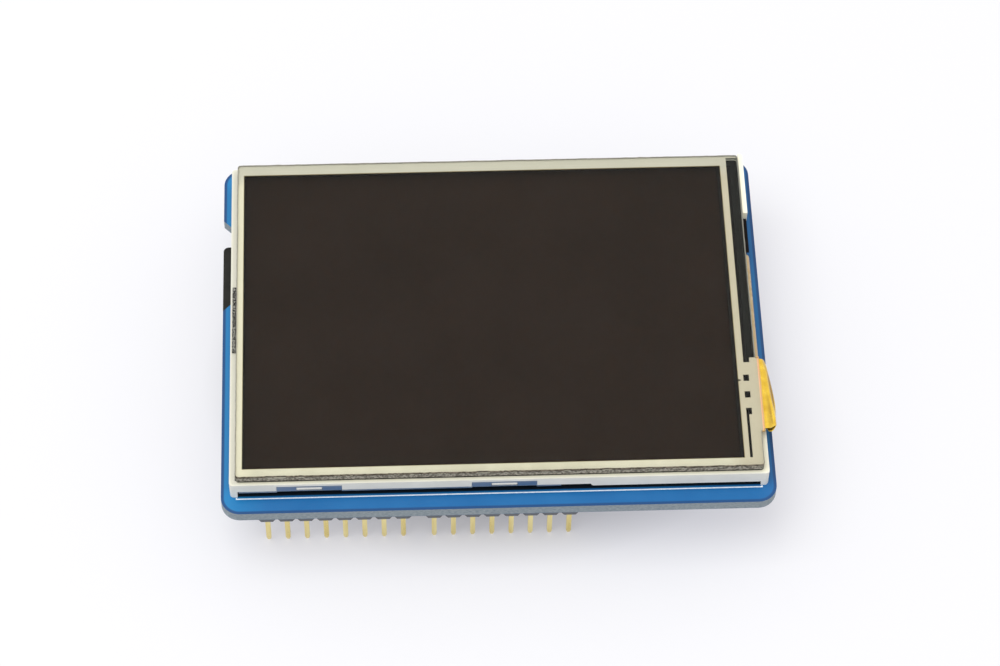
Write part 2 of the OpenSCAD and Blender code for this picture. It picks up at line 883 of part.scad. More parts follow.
// Solder pad under a foot that points along +Y, with a fillet at the foot's toe
module solder_joint(l, w, fillet_h) {
    toe = 0.5;
    translate([-w / 2, -w / 2, 0])
        cube([w, w / 2 + l + toe, pad_t]);
    translate([0, l, pad_t])
        along_x(w * 0.8)
            polygon([[0, 0], [toe * 0.8, 0], [toe * 0.25, fillet_h * 0.35], [0, fillet_h]]);
}

// Solder joints under the feet of one header
module header_solder(x, y, count) {
    for (i = [0:count - 1])
        under_board(x + i * pitch, y)
            mirror([0, foot_side(i) < 0 ? 1 : 0, 0])
                solder_joint(foot_l, 1.2, pin_w * 0.7);
}

// Row of pads under the leads on the back side of a chip of width w
module lead_pads(count, spacing, w, lead_w, reach) {
    for (i = [0:count - 1])
        translate([(i - (count - 1) / 2) * spacing - lead_w * 0.6, w / 2 + reach * 0.5, 0])
            cube([lead_w * 1.2, reach * 0.7, pad_t]);
}

module small_chip_pads(back_count) {
    lead_pads(back_count == 2 ? 3 : 2, back_count == 2 ? small_pitch : 2 * small_pitch,
              small_body[1], small_lead_w, small_reach);
    rotate(180)
        lead_pads(back_count, 2 * small_pitch, small_body[1], small_lead_w, small_reach);
}

module solder_joints() {
    color("#c9ccd0") {
        header_solder(first_x, front_y, digital_pins);
        header_solder(high_x, front_y, digital_pins);
        header_solder(first_x, back_y, analog_pins);
        header_solder(power_x, back_y, analog_pins);
        for (p = socket_places)
            under_board(socket_x + p[0], socket_y + p[1])
                rotate(p[0] > 0 ? -90 : 90)
                    solder_joint(foot_l, pin_w, socket_gap / 2);
        for (turn = [0, 180]) {
            under_board(touch_chip_place[0], touch_chip_place[1], touch_chip_place[2] + turn)
                lead_pads(touch_chip_leads, lead_pitch, chip_w, lead_pitch / 3, 1);
            for (p = shifter_places)
                under_board(p[0], p[1], p[2] + turn)
                    lead_pads(shifter_leads, lead_pitch, chip_w, lead_pitch / 3, 1);
        }
        under_board(regulator_place[0], regulator_place[1])
            small_chip_pads(2);
        under_board(transistor_place[0], transistor_place[1])
            small_chip_pads(1);
        for (p = concat(resistor_places, capacitor_places, near_parts), s = [-1, 1])
            under_board(p[0], p[1], p[2])
                translate([s * passive_l * 0.45 - passive_w / 2, -passive_w * 0.55, 0])
                    cube([passive_w, passive_w * 1.1, pad_t]);
    }
}

// ---- screen module: frame and back ----

// Outline of the tray's floor: its front and back lips stop short of the deep walls
module tray_floor_view() {
    end_gap = frame_foot_l + 2 * tray_gap;
    step = rim_t + 2 * tray_gap;
    left = -frame_l / 2 + end_gap;
    translate([left, -frame_w / 2 + step])
        square([frame_l - 2 * end_gap, frame_w - 2 * step]);
    translate([left, -frame_w / 2])
        square([tray_lip_end - end_gap, frame_w]);
}

// Side view of the tray's lip folded up into a tab, outer face on Y = 0
module tab_view() {
    r = 1.5 * tray_t;
    difference() {
        union() {
            square([r, r]);
            square([tray_t, tray_t + tab_h]);
        }
        difference() {
            translate([-cut, -cut])
                square([r + cut, r + cut]);
            translate([r, r])
                circle(r);
        }
    }
}

// Middle of each tab along X
tab_places = [for (i = [0, 1]) frame_left + tab_x + i * tab_spacing];
tab_window_z = z_reflector + (tab_h - tab_window_h) * 0.4;

module steel_tray() {
    lead_in = 1.5 * tray_t;
    color("#8593a3") {
        difference() {
            translate([screen_x, screen_y, z_tray])
                linear_extrude(tray_t)
                    tray_floor_view();
            front_and_back()
                for (x = tab_places)
                    translate([x - tab_w / 2, -frame_w / 2 - cut, z_tray - cut])
                        cube([tab_w, lead_in + cut, tray_t + 2 * cut]);
        }
        front_and_back()
            for (x = tab_places)
                translate([x, -frame_w / 2, z_tray])
                    difference() {
                        along_x(tab_w)
                            tab_view();
                        translate([-tab_window_w / 2, -cut, tab_window_z - z_tray])
                            cube([tab_window_w, 2 * tray_t, tab_window_h]);
                    }
    }
}

// Snap bump that fills a tab's window
module snap_bump() {
    w = tab_window_w - 4 * tab_clearance;
    h = tab_window_h - 2 * tab_clearance;
    depth = tray_t + 2 * tab_clearance;
    translate([0, -frame_w / 2, tab_window_z + tab_clearance])
        along_x(w)
            polygon([[0, h / 4], [depth / 3, 0], [depth, 0], [depth, h], [depth / 3, h], [0, h * 0.6]]);
}

// Deep wall and feet that reach down beside the tray on the front side
module frame_skirt() {
    start = frame_left + skirt_start;
    drop = z_frame - z_top - skirt_clear;
    translate([0, -frame_w / 2 + rim_t / 2, z_top + skirt_clear])
        along_y(rim_t) {
            translate([start + skirt_r, 0])
                square([frame_right - frame_foot_l / 2 - start - skirt_r, drop + cut]);
            translate([start, skirt_r])
                square([2 * skirt_r, drop + cut - skirt_r]);
            translate([start + skirt_r, skirt_r])
                circle(skirt_r);
        }
    for (x = [frame_left, frame_right - frame_foot_l])
        translate([x, -frame_w / 2, z_top])
            cube([frame_foot_l, frame_foot_w, z_frame - z_top + cut]);
}

// Taller part of the right wall, beside the touch panel and behind the gap for the tails
module raised_wall() {
    inner = touch_right + cell_clearance;
    rise = z_film - z_rim + cut;
    intersection() {
        translate([inner, door_back, z_rim - cut])
            cube([frame_right - inner, frame_w, rise]);
        translate([screen_x, screen_y, z_rim - cut])
            linear_extrude(rise)
                round_rect(frame_l, frame_w, frame_corner_r);
    }
}

module light_frame() {
    open_l = frame_l - 2 * shelf_w;
    open_w = frame_w - 2 * shelf_w;
    pocket_l = frame_l - 2 * rim_t;
    pocket_w = frame_w - 2 * rim_t;
    tab_pocket_w = tab_w + 2 * tab_clearance;
    color("#e9eae3")
        difference() {
            union() {
                translate([screen_x, screen_y, z_frame])
                    linear_extrude(z_rim - z_frame)
                        difference() {
                            round_rect(frame_l, frame_w, frame_corner_r);
                            square([open_l, open_w], center = true);
                        }
                intersection() {
                    front_and_back()
                        frame_skirt();
                    translate([screen_x, screen_y, z_top])
                        linear_extrude(z_rim - z_top)
                            round_rect(frame_l, frame_w, frame_corner_r);
                }
                raised_wall();
            }
            translate([screen_x - pocket_l / 2, screen_y - pocket_w / 2, z_cell])
                cube([pocket_l, pocket_w, z_face - z_cell]);
            translate([frame_right - shelf_w - cut, door_front, z_frame - cut])
                cube([shelf_w + 2 * cut, door_back - door_front, z_face - z_frame]);
            front_and_back()
                for (x = tab_places)
                    translate([x - tab_pocket_w / 2, -frame_w / 2 - cut, z_frame - cut])
                        cube([tab_pocket_w, cut + tray_t + tab_clearance,
                              cut + tab_h - tray_gap + tab_clearance]);
        }
    color("#e9eae3")
        front_and_back()
            for (x = tab_places)
                translate([x, 0, 0])
                    snap_bump();
}

// Sheet of foam under the tray, with a bay on the right side for both tails
module foam_tape() {
    tape_l = frame_l - 2 * tape_inset;
    tape_w = frame_w - 2 * tape_inset;
    bay_left = cell_right - display_tail_run - tape_inset / 2;
    bay_front = touch_front + block_start - tape_inset / 2;
    bay_back = display_tail_back + tape_inset / 2;
    color("#2f3338")
        difference() {
            translate([screen_x - tape_l / 2, screen_y - tape_w / 2, z_top])
                cube([tape_l, tape_w, tape_t]);
            translate([bay_left, bay_front, z_top - cut])
                cube([frame_right - bay_left, bay_back - bay_front, tape_t + 2 * cut]);
        }
}

// ---- screen module: light and glass ----

module reflector_film() {
    color("#f2f3f1")
        sheet(inner_l, inner_w, reflector_t, z_reflector);
}

module light_guide() {
    guide_l = inner_l - led_w - cell_clearance;
    color("#dfe8ea")
        translate([-(inner_l - guide_l) / 2, 0, 0])
            sheet(guide_l, inner_w, guide_t, z_guide);
}

module backlight_leds() {
    spacing = inner_w / leds;
    color("#f3e9b0")
        for (i = [0:leds - 1])
            translate([screen_x + inner_l / 2 - led_w, screen_y - led_l / 2 + (i - (leds - 1) / 2) * spacing,
                       z_guide])
                cube([led_w, led_l, guide_t]);
}

module diffuser_film() {
    color("#eceeed")
        sheet(inner_l, inner_w, diffuser_t, z_diffuser);
}

module prism_films() {
    shrink = 0.3;
    color("#d8dddf")
        for (i = [0, 1])
            sheet(inner_l - i * shrink, inner_w - i * shrink, prism_t, z_prisms + i * prism_t);
}

module polarizer(z, right_step) {
    l = cell_l - 2 * polarizer_inset - right_step;
    translate([-right_step / 2, 0, 0])
        sheet(l, cell_w - 2 * polarizer_inset, polarizer_t, z);
}

module rear_polarizer() {
    color("#4a4644")
        polarizer(z_cell, 0);
}

module lower_glass() {
    color("#9fb4b4")
        sheet(cell_l, cell_w, cell_glass_t, z_lower_glass);
}

module upper_glass() {
    color("#93a8a8")
        translate([-ledge_w / 2, 0, 0])
            sheet(cell_l - ledge_w, cell_w, cell_glass_t, z_upper_glass);
}

module front_polarizer() {
    color("#332d2c")
        polarizer(z_front, ledge_w);
}

module driver_chip() {
    chip_l = 16;
    chip_depth = 0.9;
    color("#3b3d42")
        translate([cell_right - ledge_w + chip_depth / 2, screen_y - chip_l / 2, z_upper_glass])
            cube([chip_depth, chip_l, cell_glass_t * 0.8]);
}

// Black tape that hides the ledge, seen through the panel as the dark strip,
// with a flap that covers the wall's gap behind the display's tail
module shade_tape() {
    left = cell_right - ledge_w - polarizer_inset + cell_clearance;
    flap_front = display_tail_back + cell_clearance;
    flap_back = door_back - cell_clearance;
    color("#211e1d") {
        translate([left, screen_y - cell_w / 2, z_front])
            cube([cell_right - left, cell_w, polarizer_t]);
        translate([cell_right - cut, flap_front, z_front])
            cube([frame_right - cell_right - cell_clearance + cut, flap_back - flap_front, polarizer_t]);
    }
}

// ---- touch panel ----

module touch_outline() {
    round_rect(touch_l, touch_w, touch_corner_r);
}

// Tab of the film that carries the contacts out to the tail
module tab_outline() {
    translate([touch_l / 2 - touch_corner_r, block_start - touch_w / 2])
        square([film_tab + touch_corner_r, block_end - block_start]);
}

// Places a flat touch-panel shape, drawn about the panel's middle, at height z
module touch_layer(z, t) {
    translate([screen_x + touch_x, screen_y, z])
        linear_extrude(t)
            children();
}

module touch_gasket() {
    l = touch_l - 2 * gasket_inset;
    w = touch_w - 2 * gasket_inset;
    ear_w = gasket_inset + ear_out;
    color("#1b1a19")
        touch_layer(z_rim, gasket_t) {
            difference() {
                round_rect(l, w, touch_corner_r);
                square([l - 2 * gasket_w, w - 2 * gasket_w], center = true);
            }
            translate([-touch_l / 2 + gasket_inset - ear_w, ear_shift - ear_l / 2])
                square([ear_w + gasket_w / 2, ear_l]);
        }
}

module touch_glass() {
    color("#a9b3b0")
        touch_layer(z_touch, touch_glass_t)
            touch_outline();
}

// Clear places in the printed border: the screen's window, the dark strip and the small windows
module border_openings() {
    left = -touch_l / 2;
    front = -touch_w / 2;
    strip_left = touch_l / 2 - strip_w;
    window_right = strip_left - border_right;
    half_block = (block_end - block_start) / 2;
    first_window = block_start + half_block - window_pitch;
    nick = border_right * 0.4;
    translate([left + border_left, front + border_front])
        square([window_right - left - border_left, touch_w - border_front - border_back]);
    translate([window_right - cut, front + block_end - 4 * border_right])
        square([nick, nick * 0.7]);
    translate([strip_left, front + block_end])
        square([strip_w + cut, touch_w - block_end - strip_end]);
    translate([strip_left, front + block_end - border_right * 0.8])
        square([strip_w / 2, border_right]);
    for (i = [0:windows - 1])
        translate([strip_left - slot_line_w / 2, front + first_window - window_l / 2 + i * window_pitch])
            square([window_w, window_l]);
    translate([strip_left - slot_line_w / 2, front + border_front])
        square([slot_line_w, first_window - border_front]);
}

module touch_border() {
    color("#d0cba9")
        touch_layer(z_border, border_t)
            difference() {
                union() {
                    touch_outline();
                    tab_outline();
                }
                border_openings();
            }
}

module touch_film() {
    color([0.82, 0.84, 0.8, 0.5])
        touch_layer(z_film, film_t)
            union() {
                touch_outline();
                tab_outline();
            }
}

// ---- tails ----

fold_steps = 14;

// Points of an elliptical arc in X and Z, from one angle to another
function arc_points(x, z, rx, rz, from, to, steps) =
    [for (i = [0:steps]) let (a = from + (to - from) * i / steps) [x + rx * cos(a), z + rz * sin(a)]];

// Direction across a path at point i, a quarter turn from the way it runs
function across(path, i) =
    let (
        before = path[max(i - 1, 0)],
        after = path[min(i + 1, len(path) - 1)],
        way = (after - before) / norm(after - before)
    )
    [way[1], -way[0]];

// Closed outline of a strip of thickness t whose middle follows the path
function strip_outline(path, t) = concat(
    [for (i = [0:len(path) - 1]) path[i] - across(path, i) * t / 2],
    [for (i = [len(path) - 1:-1:0]) path[i] + across(path, i) * t / 2]
);

// Middle line of the display's tail: off the glass ledge, round its fold and back under the screen
function display_tail_path() =
    let (
        x_fold = cell_right + cell_clearance,
        high = z_upper_glass + display_tail_t / 2,
        low = z_top + tail_gap + display_tail_t / 2,
        bulge = frame_right - x_fold - display_tail_t / 2
    )
    concat(
        [[cell_right - 0.7, high]],
        arc_points(x_fold, (high + low) / 2, bulge, (high - low) / 2, 90, -90, fold_steps),
        [[cell_right - display_tail_run, low]]
    );

module display_tail() {
    color("#c9a86a")
        translate([0, display_tail_y, 0])
            along_y(display_tail_w)
                polygon(strip_outline(display_tail_path(), display_tail_t));
}

// Middle line of the touch tail: out under the film's tab, round a fold of the given bulge,
// down through the gap in the frame's wall and back under the screen
function touch_tail_path(bulge) =
    let (
        x_fold = touch_right + film_tab + tail_gap,
        x_down = frame_right - 4 * touch_tail_t,
        high = z_border - touch_tail_t / 2,
        mid = high - fold_h,
        low = z_top + tail_gap + touch_tail_t / 2,
        bend = x_fold - x_down
    )
    concat(
        [[touch_right + tail_gap, high]],
        arc_points(x_fold, (high + mid) / 2, bulge - touch_tail_t / 2, fold_h / 2, 90, -90, fold_steps),
        arc_points(x_fold, mid - bend, bend, bend, 105, 180, 5),
        arc_points(x_down - bend, low + bend, bend, bend, 0, -75, 5),
        [[x_down - bend, low], [x_down - touch_tail_run, low]]
    );

// Strip lofted between sections whose fold grows from its back end to its front end;
// its front edge moves back until the strip is half way round the fold
module touch_tail() {
    stations = 8;
    y_front = touch_tail_front;
    y_back = touch_front + block_end - tail_margin;
    sections = [for (j = [0:stations])
        let (bulge = fold_front + (fold_back - fold_front) * pow(j / stations, 3))
        strip_outline(touch_tail_path(bulge), touch_tail_t)];
    n = len(sections[0]);
    half = n / 2;
    taper = [for (i = [0:n - 1])
        let (along = min(1, 2 * min(i, n - 1 - i) / fold_steps))
        tail_taper * (1 - cos(180 * along)) / 2];
    points = [for (j = [0:stations], i = [0:n - 1])
        let (s = j / stations, p = sections[j][i])
        [p[0], y_front + taper[i] * (1 - s) + (y_back - y_front) * s, p[1]]];
    sides = [for (j = [0:stations - 1], i = [0:n - 1])
        let (k = (i + 1) % n)
        each [[j * n + i, j * n + k, (j + 1) * n + k], [j * n + i, (j + 1) * n + k, (j + 1) * n + i]]];
    front_end = [for (i = [0:half - 2])
        each [[i, n - 1 - i, i + 1], [i + 1, n - 1 - i, n - 2 - i]]];
    back_end = [for (f = front_end) [for (i = [2, 1, 0]) f[i] + stations * n]];
    color("#e2a52c")
        polyhedron(points, concat(sides, front_end, back_end));
}

circuit_board();
screen_outline_mark();
solder_joints();
digital_low_header_base();
digital_low_header_pins();
digital_high_header_base();
digital_high_header_pins();
analog_header_base();
analog_header_pins();
power_header_base();
power_header_pins();
programming_socket_body();
programming_socket_contacts();
card_slot_floor();
card_slot_cover();
card_slot_contacts();
memory_card();
touch_controller_body();
touch_controller_leads();
level_shifter_bodies();
level_shifter_leads();
regulator_body();
regulator_leads();
backlight_transistor_body();
backlight_transistor_leads();
chip_resistors();
chip_capacitors();
foam_tape();
steel_tray();
light_frame();
reflector_film();
light_guide();
backlight_leds();
diffuser_film();
prism_films();
rear_polarizer();
lower_glass();
upper_glass();
front_polarizer();
driver_chip();
shade_tape();
display_tail();
touch_gasket();
touch_glass();
touch_border();
touch_film();
touch_tail();
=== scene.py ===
# %% [markdown]
# # A touch display on its carrier board
#
# The construction is already exact: it comes as a fixed frame with every piece at its real size.
# What is left is looks: a finish for each surface, a few pieces too fine for the construction,
# and a plain studio round it all. Each cell below adds one thing and says why it is made that way.

# %% Load the frame
import math

import bpy
import numpy as np
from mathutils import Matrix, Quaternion, Vector


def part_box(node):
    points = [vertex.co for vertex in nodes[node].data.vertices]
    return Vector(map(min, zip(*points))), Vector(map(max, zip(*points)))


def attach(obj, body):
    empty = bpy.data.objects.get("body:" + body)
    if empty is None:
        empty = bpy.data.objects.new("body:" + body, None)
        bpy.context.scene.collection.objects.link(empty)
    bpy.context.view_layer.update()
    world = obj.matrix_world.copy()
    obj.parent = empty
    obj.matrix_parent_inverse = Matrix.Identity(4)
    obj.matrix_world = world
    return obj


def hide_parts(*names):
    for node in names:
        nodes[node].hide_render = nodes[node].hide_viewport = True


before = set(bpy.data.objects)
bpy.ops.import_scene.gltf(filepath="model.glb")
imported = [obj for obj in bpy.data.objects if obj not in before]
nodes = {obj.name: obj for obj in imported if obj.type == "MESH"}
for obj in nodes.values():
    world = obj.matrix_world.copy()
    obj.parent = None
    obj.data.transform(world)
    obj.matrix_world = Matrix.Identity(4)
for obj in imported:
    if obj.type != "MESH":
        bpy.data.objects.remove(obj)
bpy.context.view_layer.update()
MM = 0.001
print("pieces in the frame:", len(nodes))

# %% [markdown]
# All places come from the boxes of the pieces, so a change in the construction carries through.
# The board's top face is the plane that most of the scene is laid out on.

# %% Main places
board_lo, board_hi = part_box("circuit_board")
frame_lo, frame_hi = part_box("light_frame")
film_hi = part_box("touch_film")[1]
glass_lo, glass_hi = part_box("touch_glass")
ink_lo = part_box("touch_border")[0]
gasket_lo, gasket_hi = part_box("touch_gasket")
tail_lo, tail_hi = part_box("touch_tail")
board_centre = (board_lo + board_hi) / 2
print("board, mm:", [round(v / MM, 2) for v in board_hi - board_lo])

# %% [markdown]
# ## The camera
#
# The object is seen from a little left of the front, well above it, through a long lens.
# The camera is placed from those facts: an aim point near the middle of the board's top face,
# a distance, two angles and a slight roll, as for a camera on a tripod.

# %% Camera
def make_camera(aim, distance, azimuth, elevation, roll, lens):
    """Stands off from the aim along the direction that the two angles give, then rolls about the view."""
    a, e = math.radians(azimuth), math.radians(elevation)
    back = Vector((math.sin(a) * math.cos(e), -math.cos(a) * math.cos(e), math.sin(e)))
    camera = bpy.data.objects.new("camera", bpy.data.cameras.new("camera"))
    camera.data.lens = lens
    camera.data.clip_start = 0.01
    camera.data.clip_end = 20
    camera.location = aim + back * distance
    camera.rotation_mode = "QUATERNION"
    turn = (-back).to_track_quat("-Z", "Y")
    camera.rotation_quaternion = turn @ Quaternion((0, 0, 1), math.radians(roll))
    bpy.context.scene.collection.objects.link(camera)
    bpy.context.scene.camera = camera
    return camera


aim = Vector((board_centre.x + 0.93 * MM, board_centre.y - 0.36 * MM, board_hi.z))
camera = make_camera(aim, 452.66 * MM, azimuth=-3.014, elevation=56.885, roll=1.217, lens=121.85)
print("camera at, mm:", [round(v / MM, 1) for v in camera.location])

# %% [markdown]
# ## The studio
#
# A pale floor, a soft warm sky all round and one large soft lamp nearly overhead. The sky does most
# of the work, so a colour comes out about as it is written. The floor adds some light of its own
# only where it is looked at, which keeps it white while it still takes the object's soft shadow.
# That light would also wash out the shadow under the board, so it is cut down there, in an ellipse
# tied to the board's size. This is painted shade, fitted to the look, and no effect of the lamps.

# %% Node helpers
def new_material(name):
    """A material with an empty node tree and its output node."""
    material = bpy.data.materials.new(name)
    material.use_nodes = True
    tree = material.node_tree
    tree.nodes.clear()
    return material, tree, tree.nodes.new("ShaderNodeOutputMaterial")


def node(tree, kind, **settings):
    """Adds a node. Each setting is a property of the node, or the value of the input of that name."""
    made = tree.nodes.new(kind)
    for name, value in settings.items():
        if hasattr(made, name):
            setattr(made, name, value)
        else:
            made.inputs[name.replace("_", " ")].default_value = value
    return made


def math_node(tree, operation, *values):
    """A Math node; each value is a number or the socket that feeds it."""
    made = node(tree, "ShaderNodeMath", operation=operation)
    for i, value in enumerate(values):
        if isinstance(value, (int, float)):
            made.inputs[i].default_value = value
        else:
            tree.links.new(value, made.inputs[i])
    return made.outputs[0]


def object_coordinates(tree):
    """Object coordinates, which are metres in the part's own frame."""
    return node(tree, "ShaderNodeTexCoord").outputs["Object"]


def axes(tree, vector):
    """The X, Y and Z of a vector."""
    parts = node(tree, "ShaderNodeSeparateXYZ")
    tree.links.new(vector, parts.inputs[0])
    return parts.outputs


def seen_directly(tree):
    """1 where the camera, a mirror or a clear pane looks at the surface, and 0 where light is gathered."""
    path = node(tree, "ShaderNodeLightPath")
    either = math_node(tree, "MAXIMUM", path.outputs["Is Camera Ray"], path.outputs["Is Glossy Ray"])
    return math_node(tree, "MAXIMUM", either, path.outputs["Is Transmission Ray"])


# %% Floor
def make_floor(half, z, glow_strength, least_glow):
    """A flat square about the origin, far larger than the view.

    The glow's share is |p / half the board| - 0.1, held between least_glow and 1.
    """
    mesh = bpy.data.meshes.new("floor")
    corners = np.array([[-1, -1], [1, -1], [1, 1], [-1, 1]]) * half
    mesh.from_pydata([(x, y, z) for x, y in corners], [], [(0, 1, 2, 3)])
    floor = bpy.data.objects.new("floor", mesh)
    bpy.context.scene.collection.objects.link(floor)
    material, tree, out = new_material("floor_white")
    diffuse = node(tree, "ShaderNodeBsdfPrincipled", Base_Color=(0.40, 0.40, 0.40, 1), Roughness=0.75,
                   IOR=1.2)
    glow = node(tree, "ShaderNodeEmission", Color=(0.93, 0.925, 1.0, 1))
    add = node(tree, "ShaderNodeAddShader")
    split = axes(tree, object_coordinates(tree))
    board_half = (board_hi - board_lo) / 2
    reach = []
    for i in (0, 1):
        share = math_node(tree, "ABSOLUTE", math_node(tree, "DIVIDE", split[i], board_half[i]))
        reach.append(math_node(tree, "POWER", share, 2.0))
    away = math_node(tree, "SUBTRACT", math_node(tree, "SQRT", math_node(tree, "ADD", *reach)), 0.1)
    shade = math_node(tree, "MINIMUM", math_node(tree, "MAXIMUM", away, least_glow), 1.0)
    lit = math_node(tree, "MULTIPLY", shade, glow_strength)
    strength = math_node(tree, "MULTIPLY", seen_directly(tree), lit)
    tree.links.new(strength, glow.inputs["Strength"])
    tree.links.new(diffuse.outputs[0], add.inputs[0])
    tree.links.new(glow.outputs[0], add.inputs[1])
    tree.links.new(add.outputs[0], out.inputs["Surface"])
    mesh.materials.append(material)


make_floor(half=6, z=0.0, glow_strength=0.475, least_glow=0.4)

# %% Sky and lamp
def make_sky(colour, strength):
    """An even sky that lights the object from all sides."""
    world = bpy.data.worlds.new("studio_sky")
    world.use_nodes = True
    tree = world.node_tree
    tree.nodes.clear()
    sky = node(tree, "ShaderNodeBackground", Color=(*colour, 1), Strength=strength)
    out = node(tree, "ShaderNodeOutputWorld")
    tree.links.new(sky.outputs[0], out.inputs["Surface"])
    bpy.context.scene.world = world


def make_lamp(name, place, target, size, power, colour):
    """A square soft box at a place, turned to face the target."""
    light = bpy.data.lights.new(name, "AREA")
    light.shape = "SQUARE"
    light.size = size
    light.energy = power
    light.color = colour
    lamp = bpy.data.objects.new(name, light)
    lamp.location = place
    lamp.rotation_mode = "QUATERNION"
    lamp.rotation_quaternion = (target - place).to_track_quat("-Z", "Y")
    bpy.context.scene.collection.objects.link(lamp)


make_sky((1.0, 0.98, 0.95), 0.98)
make_lamp("soft_box", Vector((-0.35, -0.10, 1.15)), board_centre, 0.9, 8.0, (0.94, 0.98, 1.0))

bpy.context.scene.view_settings.view_transform = "Standard"

# %% [markdown]
# ## Shared effects
#
# Almost every surface here needs the same few things: a colour that drifts a little, a gloss that
# is uneven, a fine relief, and some specks of dust. Each is a node group with named inputs, built
# once and placed in many materials with other values. A group only puts out colours, masks and
# values; the shader itself stays in the material.

# %% Group helper
def make_group(name, inputs, outputs, build):
    """A shader node group. inputs and outputs are (socket name, kind, default) and (name, kind)."""
    tree = bpy.data.node_groups.new(name, "ShaderNodeTree")
    for socket_name, kind, default in inputs:
        socket = tree.interface.new_socket(socket_name, in_out="INPUT", socket_type="NodeSocket" + kind)
        if default is not None:
            socket.default_value = default
    for socket_name, kind in outputs:
        tree.interface.new_socket(socket_name, in_out="OUTPUT", socket_type="NodeSocket" + kind)
    entry = tree.nodes.new("NodeGroupInput")
    leave = tree.nodes.new("NodeGroupOutput")
    build(tree, entry.outputs, leave.inputs)
    return tree


def use_group(tree, group, **values):
    """Places a group. A value is a constant or the socket that feeds the input of that name."""
    made = node(tree, "ShaderNodeGroup", node_tree=group)
    for name, value in values.items():
        socket = made.inputs[name.replace("_", " ")]
        if isinstance(value, bpy.types.NodeSocket):
            tree.links.new(value, socket)
        else:
            socket.default_value = value
    return made


def mix_colour(tree, mask, first, second):
    """The first colour where the mask is 0 and the second where it is 1."""
    mix = node(tree, "ShaderNodeMix", data_type="RGBA")
    for value, socket in ((mask, mix.inputs[0]), (first, mix.inputs[6]), (second, mix.inputs[7])):
        if isinstance(value, bpy.types.NodeSocket):
            tree.links.new(value, socket)
        else:
            socket.default_value = value if isinstance(value, (int, float)) else (*value, 1)
    return mix.outputs[2]


def ramp(tree, value, low, high, out_low=0.0, out_high=1.0):
    """Maps low..high to out_low..out_high and holds it there beyond."""
    made = node(tree, "ShaderNodeMapRange", clamp=True)
    tree.links.new(value, made.inputs["Value"])
    for name, number in (("From Min", low), ("From Max", high), ("To Min", out_low), ("To Max", out_high)):
        if isinstance(number, bpy.types.NodeSocket):
            tree.links.new(number, made.inputs[name])
        else:
            made.inputs[name].default_value = number
    return made.outputs["Result"]


# %% Drift, relief and dust
def build_drift(tree, given, out):
    """Two colours mixed by soft noise, and a roughness that follows the same noise."""
    noise = node(tree, "ShaderNodeTexNoise", Detail=3.0, Roughness=0.6)
    tree.links.new(given["Vector"], noise.inputs["Vector"])
    tree.links.new(given["Scale"], noise.inputs["Scale"])
    mask = ramp(tree, noise.outputs["Fac"], 0.32, 0.68)
    tree.links.new(mix_colour(tree, mask, given["Colour A"], given["Colour B"]), out["Colour"])
    tree.links.new(ramp(tree, mask, 0.0, 1.0, given["Gloss A"], given["Gloss B"]), out["Roughness"])
    tree.links.new(mask, out["Mask"])


drift = make_group(
    "drift",
    [("Vector", "Vector", None), ("Scale", "Float", 400.0), ("Colour A", "Color", (0.5, 0.5, 0.5, 1)),
     ("Colour B", "Color", (0.5, 0.5, 0.5, 1)), ("Gloss A", "Float", 0.4), ("Gloss B", "Float", 0.5)],
    [("Colour", "Color"), ("Roughness", "Float"), ("Mask", "Float")],
    build_drift,
)


def build_relief(tree, given, out):
    """Height of a fine grain over a slower swell; Swell sets how much of the slow one is in it."""
    heights = []
    for factor in (1.0, 0.12):
        noise = node(tree, "ShaderNodeTexNoise", Detail=2.0)
        tree.links.new(given["Vector"], noise.inputs["Vector"])
        tree.links.new(math_node(tree, "MULTIPLY", given["Scale"], factor), noise.inputs["Scale"])
        heights.append(noise.outputs["Fac"])
    slow = math_node(tree, "MULTIPLY", heights[1], given["Swell"])
    tree.links.new(math_node(tree, "ADD", heights[0], slow), out["Height"])


relief = make_group(
    "relief",
    [("Vector", "Vector", None), ("Scale", "Float", 4000.0), ("Swell", "Float", 1.0)],
    [("Height", "Float")],
    build_relief,
)


def build_dust(tree, given, out):
    """Small round specks: one in each cell of a Voronoi pattern, kept only in a few of the cells."""
    cells = node(tree, "ShaderNodeTexVoronoi", Randomness=1.0)
    tree.links.new(given["Vector"], cells.inputs["Vector"])
    tree.links.new(given["Scale"], cells.inputs["Scale"])
    chance = node(tree, "ShaderNodeSeparateColor")
    tree.links.new(cells.outputs["Color"], chance.inputs[0])
    kept = math_node(tree, "LESS_THAN", chance.outputs[0], given["Share"])
    size = math_node(tree, "MULTIPLY", chance.outputs[1], given["Size"])
    near = math_node(tree, "LESS_THAN", cells.outputs["Distance"], size)
    tree.links.new(math_node(tree, "MULTIPLY", kept, near), out["Mask"])


dust = make_group(
    "dust",
    [("Vector", "Vector", None), ("Scale", "Float", 300.0), ("Share", "Float", 0.05), ("Size", "Float", 0.1)],
    [("Mask", "Float")],
    build_dust,
)


def build_tracks(tree, given, out):
    """Parallel lines across Y: 1 where the fraction of Y over the pitch is within the share of its middle."""
    split = axes(tree, given["Vector"])
    turn = math_node(tree, "FRACT", math_node(tree, "DIVIDE", split[1], given["Pitch"]))
    off = math_node(tree, "ABSOLUTE", math_node(tree, "SUBTRACT", turn, 0.5))
    half = math_node(tree, "MULTIPLY", given["Share"], 0.5)
    tree.links.new(math_node(tree, "LESS_THAN", off, half), out["Mask"])


tracks = make_group(
    "tracks",
    [("Vector", "Vector", None), ("Pitch", "Float", 0.001), ("Share", "Float", 0.5)],
    [("Mask", "Float")],
    build_tracks,
)
print("shared groups:", [g.name for g in (drift, relief, dust, tracks)])

# %% [markdown]
# A finish is then a few numbers: two near colours, two near roughnesses, how fine they drift,
# how deep the relief is, and whether it is a metal. The relief goes into a Bump node, whose
# distance is a real depth in metres, so moulded plastic gets hundredths of a millimetre.

